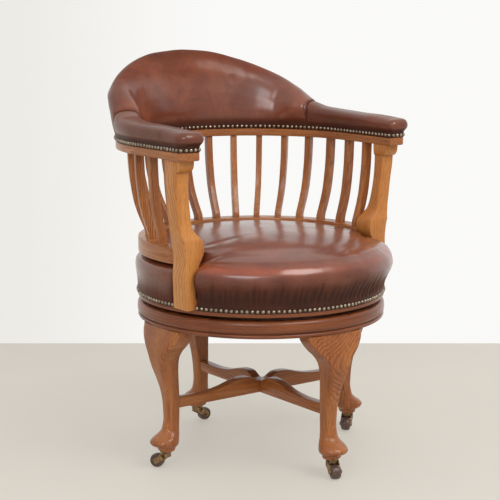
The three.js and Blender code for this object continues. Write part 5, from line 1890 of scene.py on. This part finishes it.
class ChairRailNails(bpy.types.Operator):
    """Drives the nails along the top rail and round the arms"""
    bl_idname = "chair.rail_nails"
    bl_label = "Rail nails"

    def execute(self, context):
        nails = context.scene.chair_nails
        level = depth_of("top_rail")[1] - 0.5 * RAIL_BAND_HEIGHT
        outline = [Vector((x, y, 0)) for x, y in horseshoe(-HEM_PROUD)]
        outline.append(outline[0])
        path = []
        for i, point in enumerate(outline):
            before = outline[i - 1] if i else outline[-2]
            after = outline[i + 1] if i + 1 < len(outline) else outline[1]
            along = after - before
            path.append((point, Vector((along.y, -along.x, 0)).normalized()))
        places = nail_places(path, nails.rail_pitch)
        finished("rail_nails", nail_heads(places, level, nails.radius, nails.dome), "seat", "brass",
                 ["rail_nail_band"], [material("nail_brass")], 80)
        return {"FINISHED"}


class ChairInnerParts(bpy.types.Operator):
    """Finishes the solids inside the chair and under the seat, which keep their shape"""
    bl_idname = "chair.inner_parts"
    bl_label = "Inner parts"

    def execute(self, context):
        finishes = {
            "base_bearer": "frame_beech", "seat_bearer": "frame_beech", "crest_board": "frame_beech",
            "pivot_plate_lower": "pivot_iron", "pivot_plate_upper": "pivot_iron",
            "pivot_bolt": "pivot_iron", "pivot_nut": "pivot_iron", "seat_webbing": "jute_webbing",
        }
        for name, finish in finishes.items():
            node = frame["nodes"][name]
            node.data.materials.clear()
            node.data.materials.append(material(finish))
        return {"FINISHED"}


# Where the camera stands and what it looks at
EYE = (-1.812, -2.439 + AXIS_Y, 0.956)
TARGET = (-0.0184, 0.0137 + AXIS_Y, 0.4295)
WALL_SIZE = 6.0, 4.0
FLOOR_DEPTH = 9
FLOOR_GLOW = 0.58
# Each lamp: place, target, size, setting for its power, and tint
LAMPS = {
    "window": ((0.25, -1.95, 2.4), (0, 0, 0.5), (1.7, 1.2), "key_power", (1, 0.975, 0.94)),
    "fill": ((-2.05, -1.75, 1.85), (0.1, 0.1, 0.6), (1.6, 0.8), "fill_power", (0.98, 0.985, 1)),
    "side": ((2.9, 0.4, 1.7), (0, 0, 0.4), (2.6, 2.2), "side_power", (1, 0.98, 0.95)),
}


def looking(spot, target):
    """The place of a camera or lamp that looks from a spot at a target."""
    way = Vector(target) - Vector(spot)
    return Matrix.Translation(spot) @ way.to_track_quat("-Z", "Y").to_matrix().to_4x4()


class ChairStage(bpy.types.Operator):
    """Lays the floor, stands the wall, and sets the lamps and the camera"""
    bl_idname = "chair.stage"
    bl_label = "Stage"

    def flat(self, name, corners, surface):
        bm = bmesh.new()
        bm.faces.new([bm.verts.new(c) for c in corners])
        mesh = bpy.data.meshes.new(name)
        bm.to_mesh(mesh)
        bm.free()
        mesh.materials.append(surface)
        piece = bpy.data.objects.new(name, mesh)
        bpy.context.scene.collection.objects.link(piece)

    def wall_material(self, shade):
        surface = bpy.data.materials.new("wall")
        surface.use_nodes = True
        tree = surface.node_tree
        tree.nodes.clear()
        path = add(tree, "ShaderNodeLightPath")
        seen = sums(tree, "MAXIMUM", path.outputs["Is Camera Ray"], path.outputs["Is Glossy Ray"])
        at = add(tree, "ShaderNodeSeparateXYZ", {
            "Vector": add(tree, "ShaderNodeTexCoord").outputs["Object"]}).outputs["X"]
        # Painted shade: the wall is darker towards its left
        dim = tuple(k * c for k, c in zip((0.88, 0.865, 0.835), shade))
        shaded_wall_tone = mixed(tree, between(tree, at, -0.05, 0.5), dim, shade)
        matt = add(tree, "ShaderNodeBsdfDiffuse", {"Color": shaded_wall_tone}).outputs[0]
        glow = add(tree, "ShaderNodeEmission", {"Color": shaded_wall_tone, "Strength": 1.0}).outputs[0]
        front = add(tree, "ShaderNodeMixShader", {0: seen, 1: matt, 2: glow}).outputs[0]
        clear = add(tree, "ShaderNodeBsdfTransparent").outputs[0]
        behind = add(tree, "ShaderNodeNewGeometry").outputs["Backfacing"]
        both = add(tree, "ShaderNodeMixShader", {0: behind, 1: front, 2: clear}).outputs[0]
        add(tree, "ShaderNodeOutputMaterial", {"Surface": both})
        return surface

    def floor_material(self, shade):
        surface, tree, shader = new_material("floor", Roughness=0.55)
        at = add(tree, "ShaderNodeTexCoord").outputs["Object"]
        tone = cloud(tree, at, 2.0, 1.4)
        tint = mixed(tree, between(tree, tone, 0.3, 0.7), shade, tuple(0.97 * c for c in shade))
        tree.links.new(tint, shader.inputs["Base Color"])
        glow = add(tree, "ShaderNodeEmission", {"Color": tint, "Strength": 0.92}).outputs[0]
        both = add(tree, "ShaderNodeMixShader", {0: FLOOR_GLOW, 1: shader.outputs[0], 2: glow}).outputs[0]
        tree.links.new(both, tree.nodes["Material Output"].inputs["Surface"])
        return surface

    def lamp(self, name, place, size, power, tint):
        light = bpy.data.lights.new(name, "AREA")
        light.shape = "ELLIPSE"
        light.size, light.size_y = size
        light.energy = power
        light.color = tint
        lamp = bpy.data.objects.new(name, light)
        lamp.matrix_world = place
        bpy.context.scene.collection.objects.link(lamp)

    def execute(self, context):
        scene = context.scene
        stage = scene.chair_stage
        away = (Vector(TARGET) - Vector(EYE)).to_2d().to_3d().normalized()
        wide, high = WALL_SIZE
        across = Vector((away.y, -away.x, 0)) * wide
        foot = away * stage.wall_distance
        near, up = foot - away * FLOOR_DEPTH, Vector((0, 0, high))
        self.flat("floor", [foot + across, foot - across, near - across, near + across],
                  self.floor_material(tuple(stage.floor)))
        self.flat("wall", [foot - across, foot + across, foot + across + up, foot - across + up],
                  self.wall_material(tuple(stage.wall)))
        for name, (spot, target, size, power, tint) in LAMPS.items():
            self.lamp(name, looking(spot, target), size, getattr(stage, power), tint)
        world = bpy.data.worlds.new("room")
        world.use_nodes = True
        scene.world = world
        tree = world.node_tree
        tree.nodes.clear()
        path = add(tree, "ShaderNodeLightPath")
        seen = path.outputs["Is Camera Ray"]
        height = add(tree, "ShaderNodeSeparateXYZ", {
            "Vector": add(tree, "ShaderNodeTexCoord").outputs["Generated"]}).outputs["Z"]
        strength = between(tree, height, -0.1, 0.9, 0.75 * stage.world_strength, 1.4 * stage.world_strength)
        sky = add(tree, "ShaderNodeBackground", {"Color": (1, 0.99, 0.975, 1), "Strength": strength})
        white = add(tree, "ShaderNodeBackground", {"Color": (*stage.wall, 1), "Strength": 1.0})
        both = add(tree, "ShaderNodeMixShader", {0: seen, 1: sky.outputs[0], 2: white.outputs[0]})
        add(tree, "ShaderNodeOutputWorld", {"Surface": both.outputs[0]})
        camera = bpy.data.objects.new("camera", bpy.data.cameras.new("camera"))
        camera.data.lens = stage.lens
        camera.data.sensor_width = 36
        camera.matrix_world = looking(EYE, TARGET)
        scene.collection.objects.link(camera)
        scene.camera = camera
        scene.view_settings.view_transform = "Standard"
        return {"FINISHED"}


class ChairPanel(bpy.types.Panel):
    """Lists the chair's pieces in the sidebar"""
    bl_idname = "VIEW3D_PT_chair"
    bl_label = "Bankers Swivel Chair"
    bl_space_type = "VIEW_3D"
    bl_region_type = "UI"
    bl_category = "Chair"

    def draw(self, context):
        for maker in MAKERS:
            self.layout.operator(maker.bl_idname)
        for name in GROUPS:
            settings = getattr(context.scene, name)
            box = self.layout.box()
            for key in settings.__annotations__:
                box.prop(settings, key)


MAKERS = (ChairLegs, ChairStretchers, ChairBaseRing, ChairCasters, ChairSeatRing, ChairSeatCushion,
          ChairSeatNails, ChairArmPosts, ChairLowerRail, ChairSlats, ChairTopRail, ChairBackPad,
          ChairArmPads, ChairRailNails, ChairInnerParts, ChairStage)
GROUPS = {
    "chair_wood": ChairWoodSettings, "chair_leather": ChairLeatherSettings,
    "chair_nails": ChairNailSettings, "chair_stage": ChairStageSettings,
}


def register():
    for cls in (*GROUPS.values(), *MAKERS, ChairPanel):
        bpy.utils.register_class(cls)
    for name, group in GROUPS.items():
        setattr(bpy.types.Scene, name, PointerProperty(type=group))


def unregister():
    for name in GROUPS:
        delattr(bpy.types.Scene, name)
    for cls in reversed((*GROUPS.values(), *MAKERS, ChairPanel)):
        bpy.utils.unregister_class(cls)


def main():
    register()
    for maker in MAKERS:
        group, name = maker.bl_idname.split(".")
        getattr(getattr(bpy.ops, group), name)()


if __name__ == "__main__":
    main()
